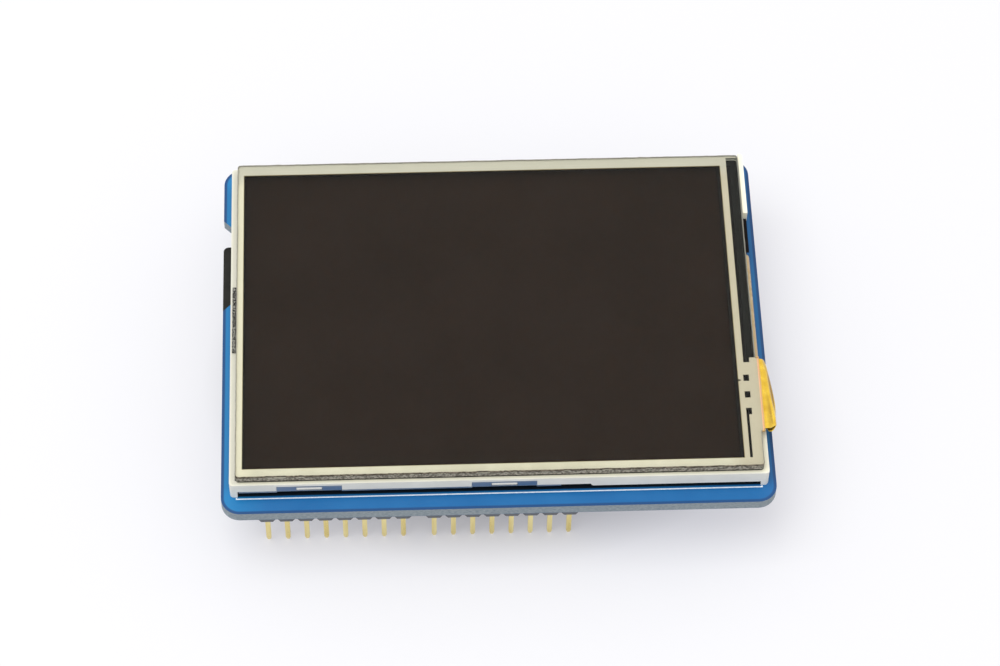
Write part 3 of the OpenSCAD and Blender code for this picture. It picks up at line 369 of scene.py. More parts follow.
# %% Opaque finishes
def shader(tree, out, **settings):
    """The material's Principled shader, joined to the output."""
    made = node(tree, "ShaderNodeBsdfPrincipled", **settings)
    tree.links.new(made.outputs[0], out.inputs["Surface"])
    return made


def paint(tree, principled, colour, roughness):
    """Feeds the shader's colour and roughness."""
    tree.links.new(colour, principled.inputs["Base Color"])
    tree.links.new(roughness, principled.inputs["Roughness"])


def stretched(tree, vector, x=1.0, y=1.0, z=1.0):
    """Coordinates scaled along the axes, to draw a pattern out in one direction."""
    mapping = node(tree, "ShaderNodeMapping")
    tree.links.new(vector, mapping.inputs["Vector"])
    mapping.inputs["Scale"].default_value = (x, y, z)
    return mapping.outputs[0]


def add_relief(tree, principled, vector, scale, depth, swell=1.0):
    """Fine relief of the given depth, in metres."""
    height = use_group(tree, relief, Vector=vector, Scale=scale, Swell=swell)
    bump = node(tree, "ShaderNodeBump", Strength=1.0, Distance=depth)
    tree.links.new(height.outputs["Height"], bump.inputs["Height"])
    tree.links.new(bump.outputs[0], principled.inputs["Normal"])


def finish(name, colours, gloss, scale=500.0, grain=6000.0, depth=0.004 * MM, stretch=None, **settings):
    """Drift and relief on a Principled shader; settings are constants on its own sockets."""
    material, tree, out = new_material(name)
    principled = shader(tree, out, **settings)
    vector = object_coordinates(tree)
    if stretch:
        vector = stretched(tree, vector, *stretch)
    tones = use_group(tree, drift, Vector=vector, Scale=scale, Colour_A=(*colours[0], 1),
                      Colour_B=(*colours[1], 1), Gloss_A=gloss[0], Gloss_B=gloss[1])
    paint(tree, principled, tones.outputs["Colour"], tones.outputs["Roughness"])
    add_relief(tree, principled, vector, grain, depth)
    return material


def dress(material, *names):
    """Puts the material into every slot of the named pieces of the frame."""
    for name in names:
        mesh = nodes[name].data
        if not mesh.materials:
            mesh.materials.append(material)
        for i in range(len(mesh.materials)):
            mesh.materials[i] = material
    dressed.update(names)


dressed = set()

# %% [markdown]
# ## The board
#
# The board is glass cloth in resin under a coat of blue solder mask. Three things tell it from blue
# plastic: the mask stops just short of the cut edge and looks darker there, the copper under it
# lightens it in large areas, and the cut edge is a dull grey sandwich that glitters a little. The
# underside, where the parts sit, also shows thin tracks and plugged holes through the mask. Under the
# screen module the board's top is darkened to near black: that is painted shade.
# One material does all of it, by where a point lies: near the outline, between the two faces, or on them.
# Near the left edge the blue is painted lighter and greener: painted light, fitted to the look.

# %% Solder mask
def outline_distance(tree, vector, centre, half_l, half_w, corner):
    """How far inside a rounded rectangle a point lies, in metres.

    corner - |max(|p - centre| - half + corner, 0)|
    """
    split = axes(tree, vector)
    reach = []
    for i, half in enumerate((half_l, half_w)):
        away = math_node(tree, "ABSOLUTE", math_node(tree, "SUBTRACT", split[i], centre[i]))
        over = math_node(tree, "SUBTRACT", away, half - corner)
        reach.append(math_node(tree, "MAXIMUM", over, 0.0))
    squares = [math_node(tree, "MULTIPLY", value, value) for value in reach]
    length = math_node(tree, "SQRT", math_node(tree, "ADD", *squares))
    return math_node(tree, "SUBTRACT", corner, length)


def inside_box(tree, vector, low, high, corner):
    """outline_distance for the rectangle between two corners."""
    half = (high - low) / 2
    return outline_distance(tree, vector, (high + low) / 2, half.x, half.y, corner)


def between(tree, value, low, high, soft):
    """1 inside low..high and 0 outside, over a soft edge."""
    rise = ramp(tree, value, low - soft, low + soft)
    fall = ramp(tree, value, high - soft, high + soft, 1.0, 0.0)
    return math_node(tree, "MULTIPLY", rise, fall)


def solder_mask():
    """Blue faces, painted lighter near the left edge, tracks and holes below, painted shade under the module,
    and the cut edge's core.
    """
    material, tree, out = new_material("blue_solder_mask")
    principled = shader(tree, out, IOR=1.42)
    vector = object_coordinates(tree)
    mask_colour = use_group(
        tree, drift, Vector=vector, Scale=90.0, Colour_A=(0.006, 0.114, 0.330, 1),
        Colour_B=(0.009, 0.141, 0.380, 1), Gloss_A=0.28, Gloss_B=0.36,
    )
    inside = inside_box(tree, vector, board_lo, board_hi, 2.5 * MM)
    split = axes(tree, vector)
    # Painted light: near the left edge the blue is made lighter and greener.
    left = ramp(tree, split[0], board_lo.x + 1.0 * MM, board_lo.x + 6.0 * MM, 1.0, 0.0)
    blue = mix_colour(tree, left, mask_colour.outputs["Colour"], (0.008, 0.180, 0.430))
    rim = ramp(tree, inside, 0.30 * MM, 0.46 * MM, 1.0, 0.0)
    blue = mix_colour(tree, rim, blue, (0.007, 0.062, 0.195))
    specks = use_group(tree, dust, Vector=vector, Scale=420.0, Share=0.10, Size=0.05)
    blue = mix_colour(tree, specks.outputs["Mask"], blue, (0.55, 0.62, 0.68))
    under = ramp(tree, split[2], board_lo.z + 0.005 * MM, board_lo.z + 0.010 * MM, 1.0, 0.0)
    routing = node(tree, "ShaderNodeTexBrick", Scale=1 / MM, Mortar_Size=0.11, Mortar_Smooth=0.1,
                   Brick_Width=7.6, Row_Height=1.3)
    tree.links.new(vector, routing.inputs["Vector"])
    routed = node(tree, "ShaderNodeTexNoise", Scale=130.0, Detail=0.0)
    tree.links.new(vector, routed.inputs["Vector"])
    line = math_node(tree, "MULTIPLY", routing.outputs["Fac"], ramp(tree, routed.outputs["Fac"], 0.50, 0.52))
    blue = mix_colour(tree, math_node(tree, "MULTIPLY", line, under), blue, (0.020, 0.215, 0.50))
    flat = stretched(tree, vector, z=0.0)
    drilled = use_group(tree, dust, Vector=flat, Scale=240.0, Share=0.22, Size=0.13)
    via = math_node(tree, "MULTIPLY", drilled.outputs["Mask"], under)
    blue = mix_colour(tree, via, blue, (0.36, 0.44, 0.52))
    # Painted shade: the board's top under the screen module is darkened to near black.
    within = inside_box(tree, vector, frame_lo, frame_hi, 0.5 * MM)
    above = math_node(tree, "SUBTRACT", 1.0, under)
    glue_and_painted_shade = math_node(tree, "MULTIPLY", ramp(tree, within, 0.02 * MM, 0.16 * MM), above)
    blue = mix_colour(tree, glue_and_painted_shade, blue, (0.006, 0.011, 0.018))
    cut = between(tree, split[2], board_lo.z + 0.04 * MM, board_hi.z - 0.04 * MM, 0.01 * MM)
    layers = stretched(tree, vector, z=6.0)
    core = use_group(
        tree, drift, Vector=layers, Scale=2200.0, Colour_A=(0.14, 0.19, 0.24, 1),
        Colour_B=(0.38, 0.43, 0.47, 1), Gloss_A=0.5, Gloss_B=0.8,
    )
    colour = mix_colour(tree, cut, blue, core.outputs["Colour"])
    rough = ramp(tree, cut, 0.0, 1.0, mask_colour.outputs["Roughness"], core.outputs["Roughness"])
    paint(tree, principled, colour, rough)
    add_relief(tree, principled, vector, 1500.0, 0.006 * MM)
    return material


dress(solder_mask(), "circuit_board")

# %% [markdown]
# The white line is printed ink: a little thick, a little rough. Solder is bright and lumpy, and the
# tin on the leads is duller. The pins are gold over nickel, drawn through a die, so their
# streaks run along them. The header plastic is black nylon, moulded with a fine matt texture.

# %% Print, metal and black plastics
dress(finish("white_ink", [(0.66, 0.74, 0.84), (0.86, 0.90, 0.95)], (0.5, 0.7), scale=2500.0,
             depth=0.01 * MM), "screen_outline_mark")
dress(finish("bright_solder", [(0.52, 0.53, 0.55), (0.74, 0.75, 0.76)], (0.16, 0.34), scale=1500.0,
             grain=2500.0, depth=0.03 * MM, Metallic=1.0), "solder_joints")
dress(finish("tin_plate", [(0.56, 0.57, 0.59), (0.70, 0.71, 0.72)], (0.32, 0.48), scale=1800.0,
             Metallic=1.0), "touch_controller_leads", "level_shifter_leads", "regulator_leads",
      "backlight_transistor_leads")
dress(finish("gold_plate", [(0.81, 0.66, 0.25), (0.93, 0.82, 0.42)], (0.24, 0.44), scale=900.0,
             grain=5000.0, depth=0.006 * MM, stretch=(1.0, 1.0, 0.12), Metallic=1.0),
      "digital_low_header_pins", "digital_high_header_pins", "analog_header_pins",
      "power_header_pins", "programming_socket_contacts", "card_slot_contacts")
dress(finish("header_nylon", [(0.095, 0.105, 0.125), (0.135, 0.145, 0.17)], (0.38, 0.52), scale=700.0,
             grain=9000.0, depth=0.008 * MM), "digital_low_header_base", "digital_high_header_base",
      "analog_header_base", "power_header_base")
dress(finish("socket_nylon", [(0.015, 0.015, 0.014), (0.026, 0.026, 0.024)], (0.38, 0.55), scale=600.0,
             grain=8000.0, depth=0.008 * MM, IOR=1.27), "programming_socket_body")
dress(finish("chip_epoxy", [(0.026, 0.026, 0.028), (0.044, 0.044, 0.047)], (0.48, 0.66), scale=900.0,
             grain=9000.0, depth=0.012 * MM), "touch_controller_body", "level_shifter_bodies",
      "regulator_body", "backlight_transistor_body")

# %% [markdown]
# Small chip parts are dipped in tin at both ends. The end caps stand a hair lower than the body under
# the board, so a point's height tells body from cap, and the finish turns to metal there.

# %% Chip parts
def chip_finish(name, colours, gloss, piece):
    """Glaze or ceramic in the middle and tin wherever the surface is at the piece's lowest level."""
    material, tree, out = new_material(name)
    principled = shader(tree, out, IOR=1.45)
    vector = object_coordinates(tree)
    tones = use_group(tree, drift, Vector=vector, Scale=1500.0, Colour_A=(*colours[0], 1),
                      Colour_B=(*colours[1], 1), Gloss_A=gloss[0], Gloss_B=gloss[1])
    split = axes(tree, vector)
    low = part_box(piece)[0].z
    tin = ramp(tree, split[2], low + 0.015 * MM, low + 0.025 * MM, 1.0, 0.0)
    colour = mix_colour(tree, tin, tones.outputs["Colour"], (0.66, 0.67, 0.68))
    paint(tree, principled, colour, tones.outputs["Roughness"])
    tree.links.new(tin, principled.inputs["Metallic"])
    add_relief(tree, principled, vector, 3000.0, 0.01 * MM)
    dress(material, piece)


chip_finish("resistor_glaze", [(0.018, 0.018, 0.020), (0.032, 0.032, 0.035)], (0.3, 0.4), "chip_resistors")
chip_finish("capacitor_body", [(0.34, 0.23, 0.13), (0.46, 0.33, 0.20)], (0.42, 0.6), "chip_capacitors")

# %% [markdown]
# The card slot is a black moulding under a folded steel cover, and the card is moulded black plastic
# with a slight sheen. Rolled steel has faint streaks along the strip it was cut from, which the
# stretched noise gives.

# %% Slot, card and tray
dress(finish("slot_moulding", [(0.030, 0.031, 0.034), (0.048, 0.049, 0.052)], (0.45, 0.6),
             scale=800.0), "card_slot_floor")
dress(finish("slot_cover_steel", [(0.50, 0.51, 0.53), (0.66, 0.67, 0.68)], (0.26, 0.4), scale=600.0,
             grain=2400.0, depth=0.004 * MM, stretch=(0.15, 1.0, 1.0), Metallic=1.0), "card_slot_cover")
dress(finish("card_shell", [(0.014, 0.014, 0.012), (0.024, 0.023, 0.020)], (0.34, 0.5), scale=700.0,
             grain=9000.0, depth=0.008 * MM, IOR=1.25), "memory_card")
dress(finish("tray_steel", [(0.42, 0.44, 0.47), (0.53, 0.55, 0.58)], (0.36, 0.5), scale=500.0,
             grain=2000.0, depth=0.004 * MM, stretch=(0.12, 1.0, 1.0), Metallic=1.0), "steel_tray")
dress(finish("foam_pad", [(0.020, 0.022, 0.026), (0.045, 0.048, 0.054)], (0.8, 0.95), scale=3000.0,
             grain=5000.0, depth=0.05 * MM), "foam_tape")

# %% [markdown]
# ## The screen module
#
# The moulded frame is warm white: it lets some light in below its surface, so edges look creamy
# and walls stay cool. The ledge on the left is painted duller: painted shade, fitted to the look.
# Behind the glass lies a pile of films that only shows at the right side.

# %% Frame and films
def white_moulding():
    """Cool white walls; cream top faces with painted shade on the left; black glue below the panel."""
    material, tree, out = new_material("white_moulding")
    principled = shader(tree, out, IOR=1.4)
    vector = object_coordinates(tree)
    tones = use_group(tree, drift, Vector=vector, Scale=300.0, Colour_A=(0.75, 0.75, 0.71, 1),
                      Colour_B=(0.82, 0.82, 0.78, 1), Gloss_A=0.34, Gloss_B=0.46)
    split = axes(tree, vector)
    inside = inside_box(tree, vector, frame_lo, frame_hi, 0.5 * MM)
    top = ramp(tree, split[2], gasket_lo.z - 0.06 * MM, gasket_lo.z - 0.02 * MM)
    cream = math_node(tree, "MULTIPLY", top, ramp(tree, inside, 0.0, 0.35 * MM, 0.35, 1.0))
    colour = mix_colour(tree, cream, tones.outputs["Colour"], (0.86, 0.83, 0.66))
    # Painted shade: the cream ledge is made duller on the left.
    left = ramp(tree, split[0], glass_lo.x - 0.1 * MM, glass_lo.x + 0.8 * MM, 1.0, 0.0)
    colour = mix_colour(tree, math_node(tree, "MULTIPLY", cream, left), colour, (0.62, 0.60, 0.51))
    below = inside_box(tree, vector, glass_lo, glass_hi, 0.5 * MM)
    glued = math_node(tree, "MULTIPLY", top, ramp(tree, below, 0.25 * MM, 0.32 * MM))
    colour = mix_colour(tree, glued, colour, (0.020, 0.018, 0.016))
    paint(tree, principled, colour, tones.outputs["Roughness"])
    add_relief(tree, principled, vector, 5000.0, 0.006 * MM)
    return material


dress(white_moulding(), "light_frame")
dress(finish("white_film", [(0.84, 0.84, 0.84), (0.90, 0.90, 0.90)], (0.5, 0.6)), "reflector_film")
dress(finish("milky_film", [(0.80, 0.81, 0.81), (0.86, 0.87, 0.87)], (0.45, 0.6)), "diffuser_film")
dress(finish("grooved_film", [(0.62, 0.65, 0.67), (0.74, 0.77, 0.79)], (0.15, 0.25), scale=200.0,
             grain=9000.0, depth=0.01 * MM, stretch=(1.0, 0.02, 1.0)), "prism_films")
dress(finish("phosphor", [(0.82, 0.69, 0.24), (0.90, 0.79, 0.36)], (0.3, 0.45)), "backlight_leds")
dress(finish("bare_silicon", [(0.10, 0.11, 0.13), (0.16, 0.17, 0.20)], (0.08, 0.16), scale=900.0,
             Metallic=0.6), "driver_chip")
dress(finish("shade_film", [(0.008, 0.006, 0.006), (0.016, 0.013, 0.012)], (0.4, 0.6), scale=900.0,
             grain=3000.0, depth=0.02 * MM, IOR=1.1), "shade_tape")


def gasket_foam():
    """Black foam; its ear, which stands out on the left past the panel, is a grey woven liner."""
    material, tree, out = new_material("gasket_foam")
    principled = shader(tree, out, Roughness=0.85, IOR=1.2)
    vector = object_coordinates(tree)
    split = axes(tree, vector)
    weave = node(tree, "ShaderNodeTexNoise", Scale=4200.0, Detail=2.0)
    tree.links.new(vector, weave.inputs["Vector"])
    liner = ramp(tree, split[0], glass_lo.x - 0.18 * MM, glass_lo.x - 0.12 * MM, 1.0, 0.0)
    thread = math_node(tree, "MULTIPLY", liner, ramp(tree, weave.outputs["Fac"], 0.42, 0.56))
    colour = mix_colour(tree, thread, (0.014, 0.013, 0.012), (0.26, 0.255, 0.23))
    tree.links.new(colour, principled.inputs["Base Color"])
    add_relief(tree, principled, vector, 6000.0, 0.05 * MM)
    return material


foam = gasket_foam()
dress(foam, "touch_gasket")

# %% [markdown]
# The display's tail is tan film with fine copper tracks in it, side by side, that show through.

# %% Display tail
def tracked_film(name, colours, track, pitch, gloss):
    """Film whose tracks, at an even pitch along the panel's side, tint it."""
    material, tree, out = new_material(name)
    principled = shader(tree, out, IOR=1.4)
    vector = object_coordinates(tree)
    tones = use_group(tree, drift, Vector=vector, Scale=300.0, Colour_A=(*colours[0], 1),
                      Colour_B=(*colours[1], 1), Gloss_A=gloss[0], Gloss_B=gloss[1])
    lines = use_group(tree, tracks, Vector=vector, Pitch=pitch, Share=0.5)
    half = math_node(tree, "MULTIPLY", lines.outputs["Mask"], 0.6)
    colour = mix_colour(tree, half, tones.outputs["Colour"], track)
    paint(tree, principled, colour, tones.outputs["Roughness"])
    add_relief(tree, principled, vector, 2500.0, 0.01 * MM)
    return material


dress(tracked_film("tan_polyimide", [(0.42, 0.31, 0.15), (0.52, 0.39, 0.20)], (0.55, 0.36, 0.16),
                   0.5 * MM, (0.22, 0.36)), "display_tail")

# %% [markdown]
# The dark of the screen is the upper polarizer: brown-black, because it is crossed with nothing lit
# behind it. It lies below three clear sheets, so it is dull itself and the gloss comes from above.

# %% Polarizers
dress(finish("polarizer", [(0.0125, 0.0050, 0.0022), (0.0155, 0.0065, 0.0032)], (0.45, 0.6), scale=60.0,
             IOR=1.08), "front_polarizer", "rear_polarizer")

# %% [markdown]
# ## Clear sheets
#
# Glass and film let light through: without that, whatever lies below them would be lit by luck only,
# dark and grainy. So each clear sheet is glass to the eye, and plain tinted air both to a lamp's
# shadow ray and to the rays that gather light from the sky.

# %% Glass
def clear_sheet(name, tint, roughness, ior):
    """Principled glass, swapped for a clear shader where light is gathered or a lamp is looked for."""
    material, tree, out = new_material(name)
    glass = node(tree, "ShaderNodeBsdfPrincipled", Base_Color=(*tint, 1), IOR=ior,
                 Transmission_Weight=1.0)
    vector = object_coordinates(tree)
    smears = use_group(tree, drift, Vector=vector, Scale=70.0, Gloss_A=roughness, Gloss_B=roughness * 1.6)
    tree.links.new(smears.outputs["Roughness"], glass.inputs["Roughness"])
    air = node(tree, "ShaderNodeBsdfTransparent", Color=(*tint, 1))
    path = node(tree, "ShaderNodeLightPath")
    shown = glass.outputs[0]
    for ray in ("Is Shadow Ray", "Is Diffuse Ray"):
        pick = node(tree, "ShaderNodeMixShader")
        tree.links.new(path.outputs[ray], pick.inputs[0])
        tree.links.new(shown, pick.inputs[1])
        tree.links.new(air.outputs[0], pick.inputs[2])
        shown = pick.outputs[0]
    tree.links.new(shown, out.inputs["Surface"])
    return material


dress(clear_sheet("display_glass", (0.80, 0.86, 0.85), 0.05, 1.06), "lower_glass", "upper_glass")
dress(clear_sheet("panel_glass", (0.90, 0.94, 0.92), 0.05, 1.08), "touch_glass")
dress(clear_sheet("panel_film", (0.985, 0.985, 0.97), 0.07, 1.20), "touch_film")
dress(clear_sheet("acrylic", (0.88, 0.93, 0.93), 0.06, 1.2), "light_guide")

# %% [markdown]
# The panel's border is silver ink, printed and sealed under the film, so it reads as a pale khaki.
# Two fine lines make it look printed and pressed: the ink is thin and brown where it ends round the
# window, and a pinkish line of hot glue runs down the contact block where the film leaves the glass.
# Both lines are drawn by how far a point lies from an edge, in hundredths of a millimetre.
# The ink is painted lighter on the left and darker at the back and right. These are painted light and
# shade, fitted to the look; they can be left out where the light is another.

# %% Silver ink
def ink_of_border():
    """Dull silver ink; painted light on the left, painted shade at back and right; brown round the window;
    pink glue at the tail.
    """
    material, tree, out = new_material("silver_ink")
    principled = shader(tree, out, IOR=1.3)
    vector = object_coordinates(tree)
    tones = use_group(tree, drift, Vector=vector, Scale=160.0, Colour_A=(0.51, 0.49, 0.375, 1),
                      Colour_B=(0.60, 0.58, 0.455, 1), Gloss_A=0.42, Gloss_B=0.56)
    low = Vector((glass_lo.x + 0.90 * MM, glass_lo.y + 1.30 * MM))
    high = Vector((glass_hi.x - 2.50 * MM, glass_hi.y - 1.60 * MM))
    half = (high - low) / 2
    inside = outline_distance(tree, vector, (high + low) / 2, half.x + MM, half.y + MM, 1.0 * MM)
    split = axes(tree, vector)
    # Painted light on the left and painted shade at the back and right, set by side.
    left = ramp(tree, split[0], low.x, low.x + 2.0 * MM, 1.0, 0.0)
    right = ramp(tree, split[0], high.x - 2.0 * MM, high.x, 0.0, 0.8)
    back = ramp(tree, split[1], high.y - 2.0 * MM, high.y, 0.0, 0.8)
    colour = mix_colour(tree, left, tones.outputs["Colour"], (0.640, 0.612, 0.470))
    colour = mix_colour(tree, right, colour, (0.450, 0.405, 0.300))
    colour = mix_colour(tree, back, colour, (0.450, 0.440, 0.370))
    thin = ramp(tree, inside, 0.90 * MM, 1.00 * MM)
    colour = mix_colour(tree, thin, colour, (0.20, 0.15, 0.05))
    across = between(tree, split[0], film_hi.x - 0.24 * MM, film_hi.x - 0.06 * MM, 0.03 * MM)
    along = between(tree, split[1], tail_lo.y, tail_hi.y, 0.05 * MM)
    glue_and_painted_shade = math_node(tree, "MULTIPLY", across, along)
    colour = mix_colour(tree, glue_and_painted_shade, colour, (0.80, 0.47, 0.28))
    paint(tree, principled, colour, tones.outputs["Roughness"])
    add_relief(tree, principled, vector, 5000.0, 0.006 * MM)
    return material


dress(ink_of_border(), "touch_border")

# %% [markdown]
# ## Cut edges
#
# Film is punched and glass is scored and ground, so the edges of both are dull and not quite straight:
# the film's is a ragged brown, the glass's a speckled grey. They are too fine for the construction.
# Each is a thin band carried round the panel: the rows of the grid go round the band's cross-section,
# the columns round the outline, and seeded noise moves the outer rows in and out.

# %% A surface from a grid of points
def add_surface(name, points, material, around=False):
    """A piece from a grid of points, one face for each cell; around joins the last row to the first."""
    rows, columns = points.shape[:2]
    index = np.arange(rows * columns).reshape(rows, columns)
    if around:
        index = np.pad(index, 1, mode="wrap")[1:, 1:]
    faces = np.stack([index[:-1, :-1], index[:-1, 1:], index[1:, 1:], index[1:, :-1]], axis=-1)
    mesh = bpy.data.meshes.new(name)
    mesh.from_pydata(points.reshape(-1, 3).tolist(), [], faces.reshape(-1, 4).tolist())
    mesh.polygons.foreach_set("use_smooth", np.ones(len(mesh.polygons), dtype=bool))
    mesh.materials.append(material)
    piece = bpy.data.objects.new(name, mesh)
    bpy.context.scene.collection.objects.link(piece)
    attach(piece, "root")
    print(name, "faces:", len(mesh.polygons))
    return piece


# %% Outline of the panel
def panel_outline(corner, step, tab=0.0):
    """Points at an even step, anticlockwise round the panel, and the outward direction at each.

    Four quarter turns of the corner radius; a tab, if any, stands out to the right over the tail.
    """
    turn = np.radians(np.linspace(0, 90, 7))
    arc = corner * np.column_stack([np.cos(turn), np.sin(turn)])
    left, front = glass_lo.x + corner, glass_lo.y + corner
    right, back = glass_hi.x - corner, glass_hi.y - corner
    path = np.concatenate([
        arc + (right, back), arc @ [[0, 1], [-1, 0]] + (left, back),
        -arc + (left, front), arc @ [[0, -1], [1, 0]] + (right, front),
    ])
    if tab:
        low, high, side = tail_lo.y - 0.1 * MM, tail_hi.y + 0.1 * MM, glass_hi.x
        path = np.concatenate([path, [[side, low], [side + tab, low], [side + tab, high], [side, high]]])
    path = np.concatenate([path, path[:1]])
    length = np.concatenate([[0], np.cumsum(np.linalg.norm(np.diff(path, axis=0), axis=1))])
    at = np.linspace(0, length[-1], int(length[-1] / step), endpoint=False)
    points = np.column_stack([np.interp(at, length, path[:, i]) for i in (0, 1)])
    way = np.roll(points, -1, axis=0) - np.roll(points, 1, axis=0)
    way /= np.linalg.norm(way, axis=1, keepdims=True)
    return points, np.column_stack([way[:, 1], -way[:, 0]])


# %% Bands along the edges
def edge_band(name, outline, section, ragged, material, seed):
    """A closed section carried round an outline.

    p(r, c) = outline(c) + outward(c) (out(r) + ragged noise(c)).
    Each row of the section is (out, height, share of the noise).
    """
    points, outward = outline
    random = np.random.default_rng(seed)
    coarse = np.interp(np.arange(len(points)) / 6, np.arange(len(points) // 6 + 2),
                       random.normal(size=len(points) // 6 + 2))
    noise = ragged * (0.6 * random.normal(size=len(points)) + coarse)
    out = section[:, 0, None] + section[:, 2, None] * np.clip(noise, -2.2 * ragged, 2.2 * ragged)
    plan = points[None] + outward[None] * out[..., None]
    height = np.broadcast_to(section[:, 1, None, None], out.shape + (1,))
    return add_surface(name, np.concatenate([plan, height], axis=-1), material, around=True)


def speckled(name, dark, light, size):
    """A dull broken edge, cleaner away from the front side, with amber glue along the tab."""
    material, tree, out = new_material(name)
    principled = shader(tree, out, Roughness=0.7, IOR=1.3)
    vector = object_coordinates(tree)
    chips = node(tree, "ShaderNodeTexNoise", Scale=size, Detail=3.0)
    tree.links.new(vector, chips.inputs["Vector"])
    mask = ramp(tree, chips.outputs["Fac"], 0.40, 0.60)
    split = axes(tree, vector)
    tab = ramp(tree, split[0], glass_hi.x + 0.05 * MM, glass_hi.x + 0.10 * MM)
    clean = ramp(tree, split[1], glass_lo.y + 0.2 * MM, glass_lo.y + 0.8 * MM, 0.0, 0.55)
    colour = mix_colour(tree, clean, mix_colour(tree, mask, dark, light), (0.42, 0.42, 0.38))
    colour = mix_colour(tree, tab, colour, (0.66, 0.42, 0.16))
    tree.links.new(colour, principled.inputs["Base Color"])
    add_relief(tree, principled, vector, 9000.0, 0.01 * MM)
    return material


punched = speckled("punched_film_edge", (0.060, 0.048, 0.034), (0.20, 0.17, 0.13), 2600.0)
ground = speckled("ground_glass_edge", (0.13, 0.12, 0.10), (0.38, 0.36, 0.31), 3200.0)
film_outline = panel_outline(0.4 * MM, 0.15 * MM, tab=film_hi.x - glass_hi.x)
glass_outline = panel_outline(0.4 * MM, 0.15 * MM)
lip = 0.02 * MM
film_section = np.array([
    [-0.05 * MM, ink_lo.z + lip, 0], [0.01 * MM, ink_lo.z + lip, 1],
    [0.015 * MM, (ink_lo.z + film_hi.z) / 2, 1], [0.01 * MM, film_hi.z, 1],
    [-0.02 * MM, film_hi.z + 0.01 * MM, 1], [-0.06 * MM, film_hi.z + 0.004 * MM, 1],
])
glass_section = np.array([
    [-0.05 * MM, glass_lo.z, 0], [-0.01 * MM, glass_lo.z, 0], [0.01 * MM, glass_lo.z + 0.06 * MM, 1],
    [0.01 * MM, glass_hi.z - 0.06 * MM, 1], [-0.01 * MM, glass_hi.z, 0], [-0.05 * MM, glass_hi.z, 0],
])
edge_band("film_edge", film_outline, film_section, 0.018 * MM, punched, seed=4)
edge_band("glass_edge", glass_outline, glass_section, 0.006 * MM, ground, seed=7)

# %% [markdown]
# The black foam gasket is squeezed between the glass and the frame, and bulges out between them as a
# dark line all round the panel: half an ellipse, carried round the same outline.

# %% Squeezed foam
swell = np.radians(np.linspace(-90, 90, 7))
foam_middle = (gasket_lo.z + gasket_hi.z) / 2
foam_half = (gasket_hi.z - gasket_lo.z) / 2 - 0.01 * MM
foam_section = np.column_stack([
    (0.22 * np.cos(swell) - 0.25) * MM, foam_middle + foam_half * np.sin(swell), np.cos(swell),
])
edge_band("gasket_bulge", glass_outline, foam_section, 0.008 * MM, foam, seed=11)

# %% [markdown]
# ## The touch tail
#
# The tail is a strip of polyimide with copper in it, glued under the film's tab and bent round by
# hand. Such film creases where it is bent in two directions at once, and it shines like brass.
# The construction holds its smooth fold; here the same path is swept again with creases on it:
# one direction of the grid follows the path from the tab round the fold and down to the board,
# the other runs along the panel's side. The front edge is pulled back where it turns in to the gap.

# %% Creased tail
EDGE_TURN = [-90, -60, -30, 0, 25, 50, 68, 80]
EDGE_PULL = [0.45, 0.60, 1.10, 1.60, 1.35, 0.85, 0.85, 1.90]


def fold_path(thickness):
    """The tail's path in X and Z as (fixed X, share of the bulge in X, Z, pull of the front edge)."""
    x_fold, x_down = film_hi.x + 0.05 * MM, frame_hi.x - 4 * thickness
    high, low = ink_lo.z - thickness / 2, board_hi.z + 0.05 * MM + thickness / 2
    drop = 0.8 * MM
    bend = x_fold - x_down
    turn = np.linspace(90, -90, 45)
    fold = np.radians(turn)
    inner = np.radians(np.linspace(105, 180, 8))
    outer = np.radians(np.linspace(0, -75, 8))
    middle = high - drop
    x = np.concatenate([[glass_hi.x + 0.05 * MM], np.full(45, x_fold), x_fold + bend * np.cos(inner),
                        x_down - bend + bend * np.cos(outer), [x_down - 6 * MM]])
    share = np.concatenate([[0], np.cos(fold), np.zeros(17)])
    z = np.concatenate([[high], middle + drop * np.sin(fold), middle - drop - bend + bend * np.sin(inner),
                        low + bend + bend * np.sin(outer), [low]])
    pull = np.concatenate([[0.45], np.interp(-turn, EDGE_TURN, EDGE_PULL), np.full(17, 1.9)])
    return x, share, z, pull * MM


TAIL_FILM = 0.12 * MM
RIDGES = [(0.075, 2.2, 0.30, 0.3), (0.050, 1.5, -0.28, 1.1), (0.028, 3.9, 0.65, 2.0)]


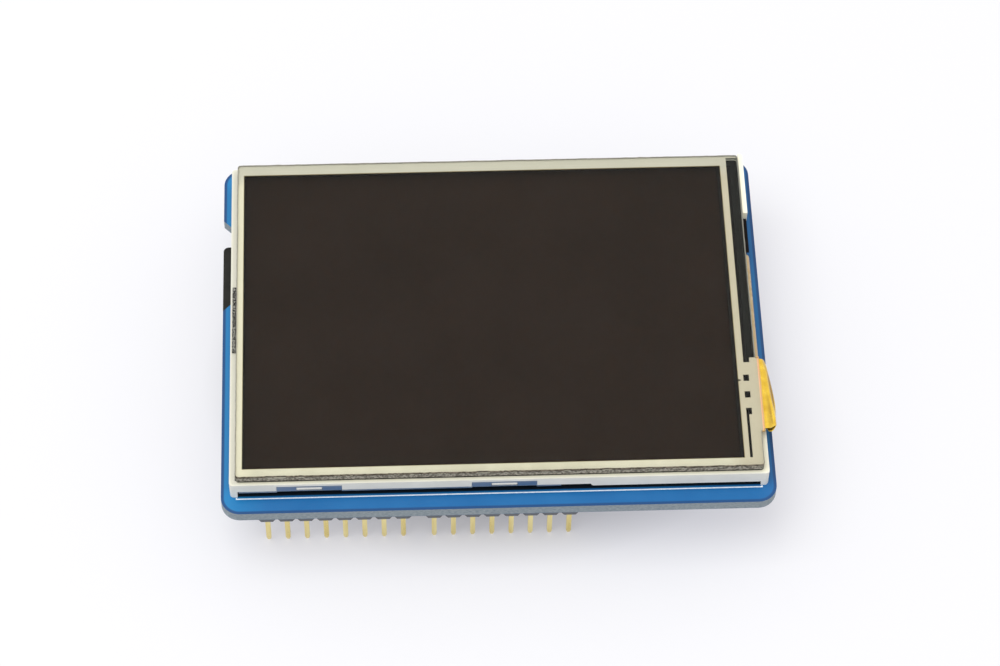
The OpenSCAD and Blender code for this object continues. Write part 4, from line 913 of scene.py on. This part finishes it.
def creased_tail(thickness, stations=81):
    """p(v, u) = (x(u) + share(u) bulge(v), y(u, v), z(u)) + normal crease(u, v).

    bulge(v) = front + (back - front) v^3; crease is a sum of sharp ridges 1 - 2 |sin(phase)|, whose
    phases run mostly along the side, and it fades at the tab and below the fold.
    """
    x, share, z, pull = fold_path(thickness)
    v = np.linspace(0, 1, stations)[:, None]
    bulge = 1.72 * MM + (0.80 - 1.72) * MM * v ** 3 - thickness / 2
    points = np.stack([x + share * bulge, tail_lo.y + pull * (1 - v) + (tail_hi.y - tail_lo.y) * v,
                       np.broadcast_to(z, (stations, len(z)))], axis=-1)
    along = np.gradient(points, axis=1)
    side = np.gradient(points, axis=0)
    normal = np.cross(along, side)
    normal /= np.linalg.norm(normal, axis=2, keepdims=True)
    run = np.cumsum(np.linalg.norm(along, axis=2), axis=1) / MM
    y = points[..., 1] / MM
    fade = np.interp(np.arange(len(x)), [0, 4, 14, 36, 46], [0, 0, 1, 0.8, 0])
    fade = fade * np.interp(v, [0, 0.08, 0.9, 1], [0.4, 1, 1, 0.4])
    crease = np.zeros_like(run)
    for size, across, lengthwise, start in RIDGES:
        crease += size * (1 - 2 * np.abs(np.sin(run * across + y * lengthwise + start)))
    crease *= fade
    return points + normal * crease[..., None] * MM, crease


def brass_film():
    """Amber film over copper; the creases' valleys are darkened by the piece's own attribute: painted shade.
    """
    material, tree, out = new_material("amber_polyimide")
    principled = shader(tree, out, Metallic=0.75, Coat_Weight=0.6, Coat_Roughness=0.05, IOR=1.5)
    vector = object_coordinates(tree)
    tones = use_group(tree, drift, Vector=vector, Scale=600.0, Colour_A=(0.74, 0.45, 0.020, 1),
                      Colour_B=(0.95, 0.66, 0.060, 1), Gloss_A=0.16, Gloss_B=0.30)
    crease = node(tree, "ShaderNodeAttribute", attribute_name="crease")
    # Painted shade: the deeper a crease's valley, the darker the amber there.
    painted_valley_shade = ramp(tree, crease.outputs["Fac"], -0.085, 0.0, 0.85, 0.0)
    colour = mix_colour(tree, painted_valley_shade, tones.outputs["Colour"], (0.26, 0.13, 0.006))
    paint(tree, principled, colour, tones.outputs["Roughness"])
    add_relief(tree, principled, vector, 2500.0, 0.012 * MM)
    return material


tail_points, tail_crease = creased_tail(TAIL_FILM)
tail = add_surface("creased_tail", tail_points, brass_film())
tail.data.attributes.new("crease", "FLOAT", "POINT").data.foreach_set("value", tail_crease.ravel())
wall = tail.modifiers.new("film", "SOLIDIFY")
wall.thickness = TAIL_FILM
wall.offset = 0.0
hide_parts("touch_tail")
dressed.add("touch_tail")
print("creases, mm:", round(float(tail_crease.min()), 3), "to", round(float(tail_crease.max()), 3))

# %% Nothing left plain
print("nodes without a finish:", sorted(set(nodes) - dressed))
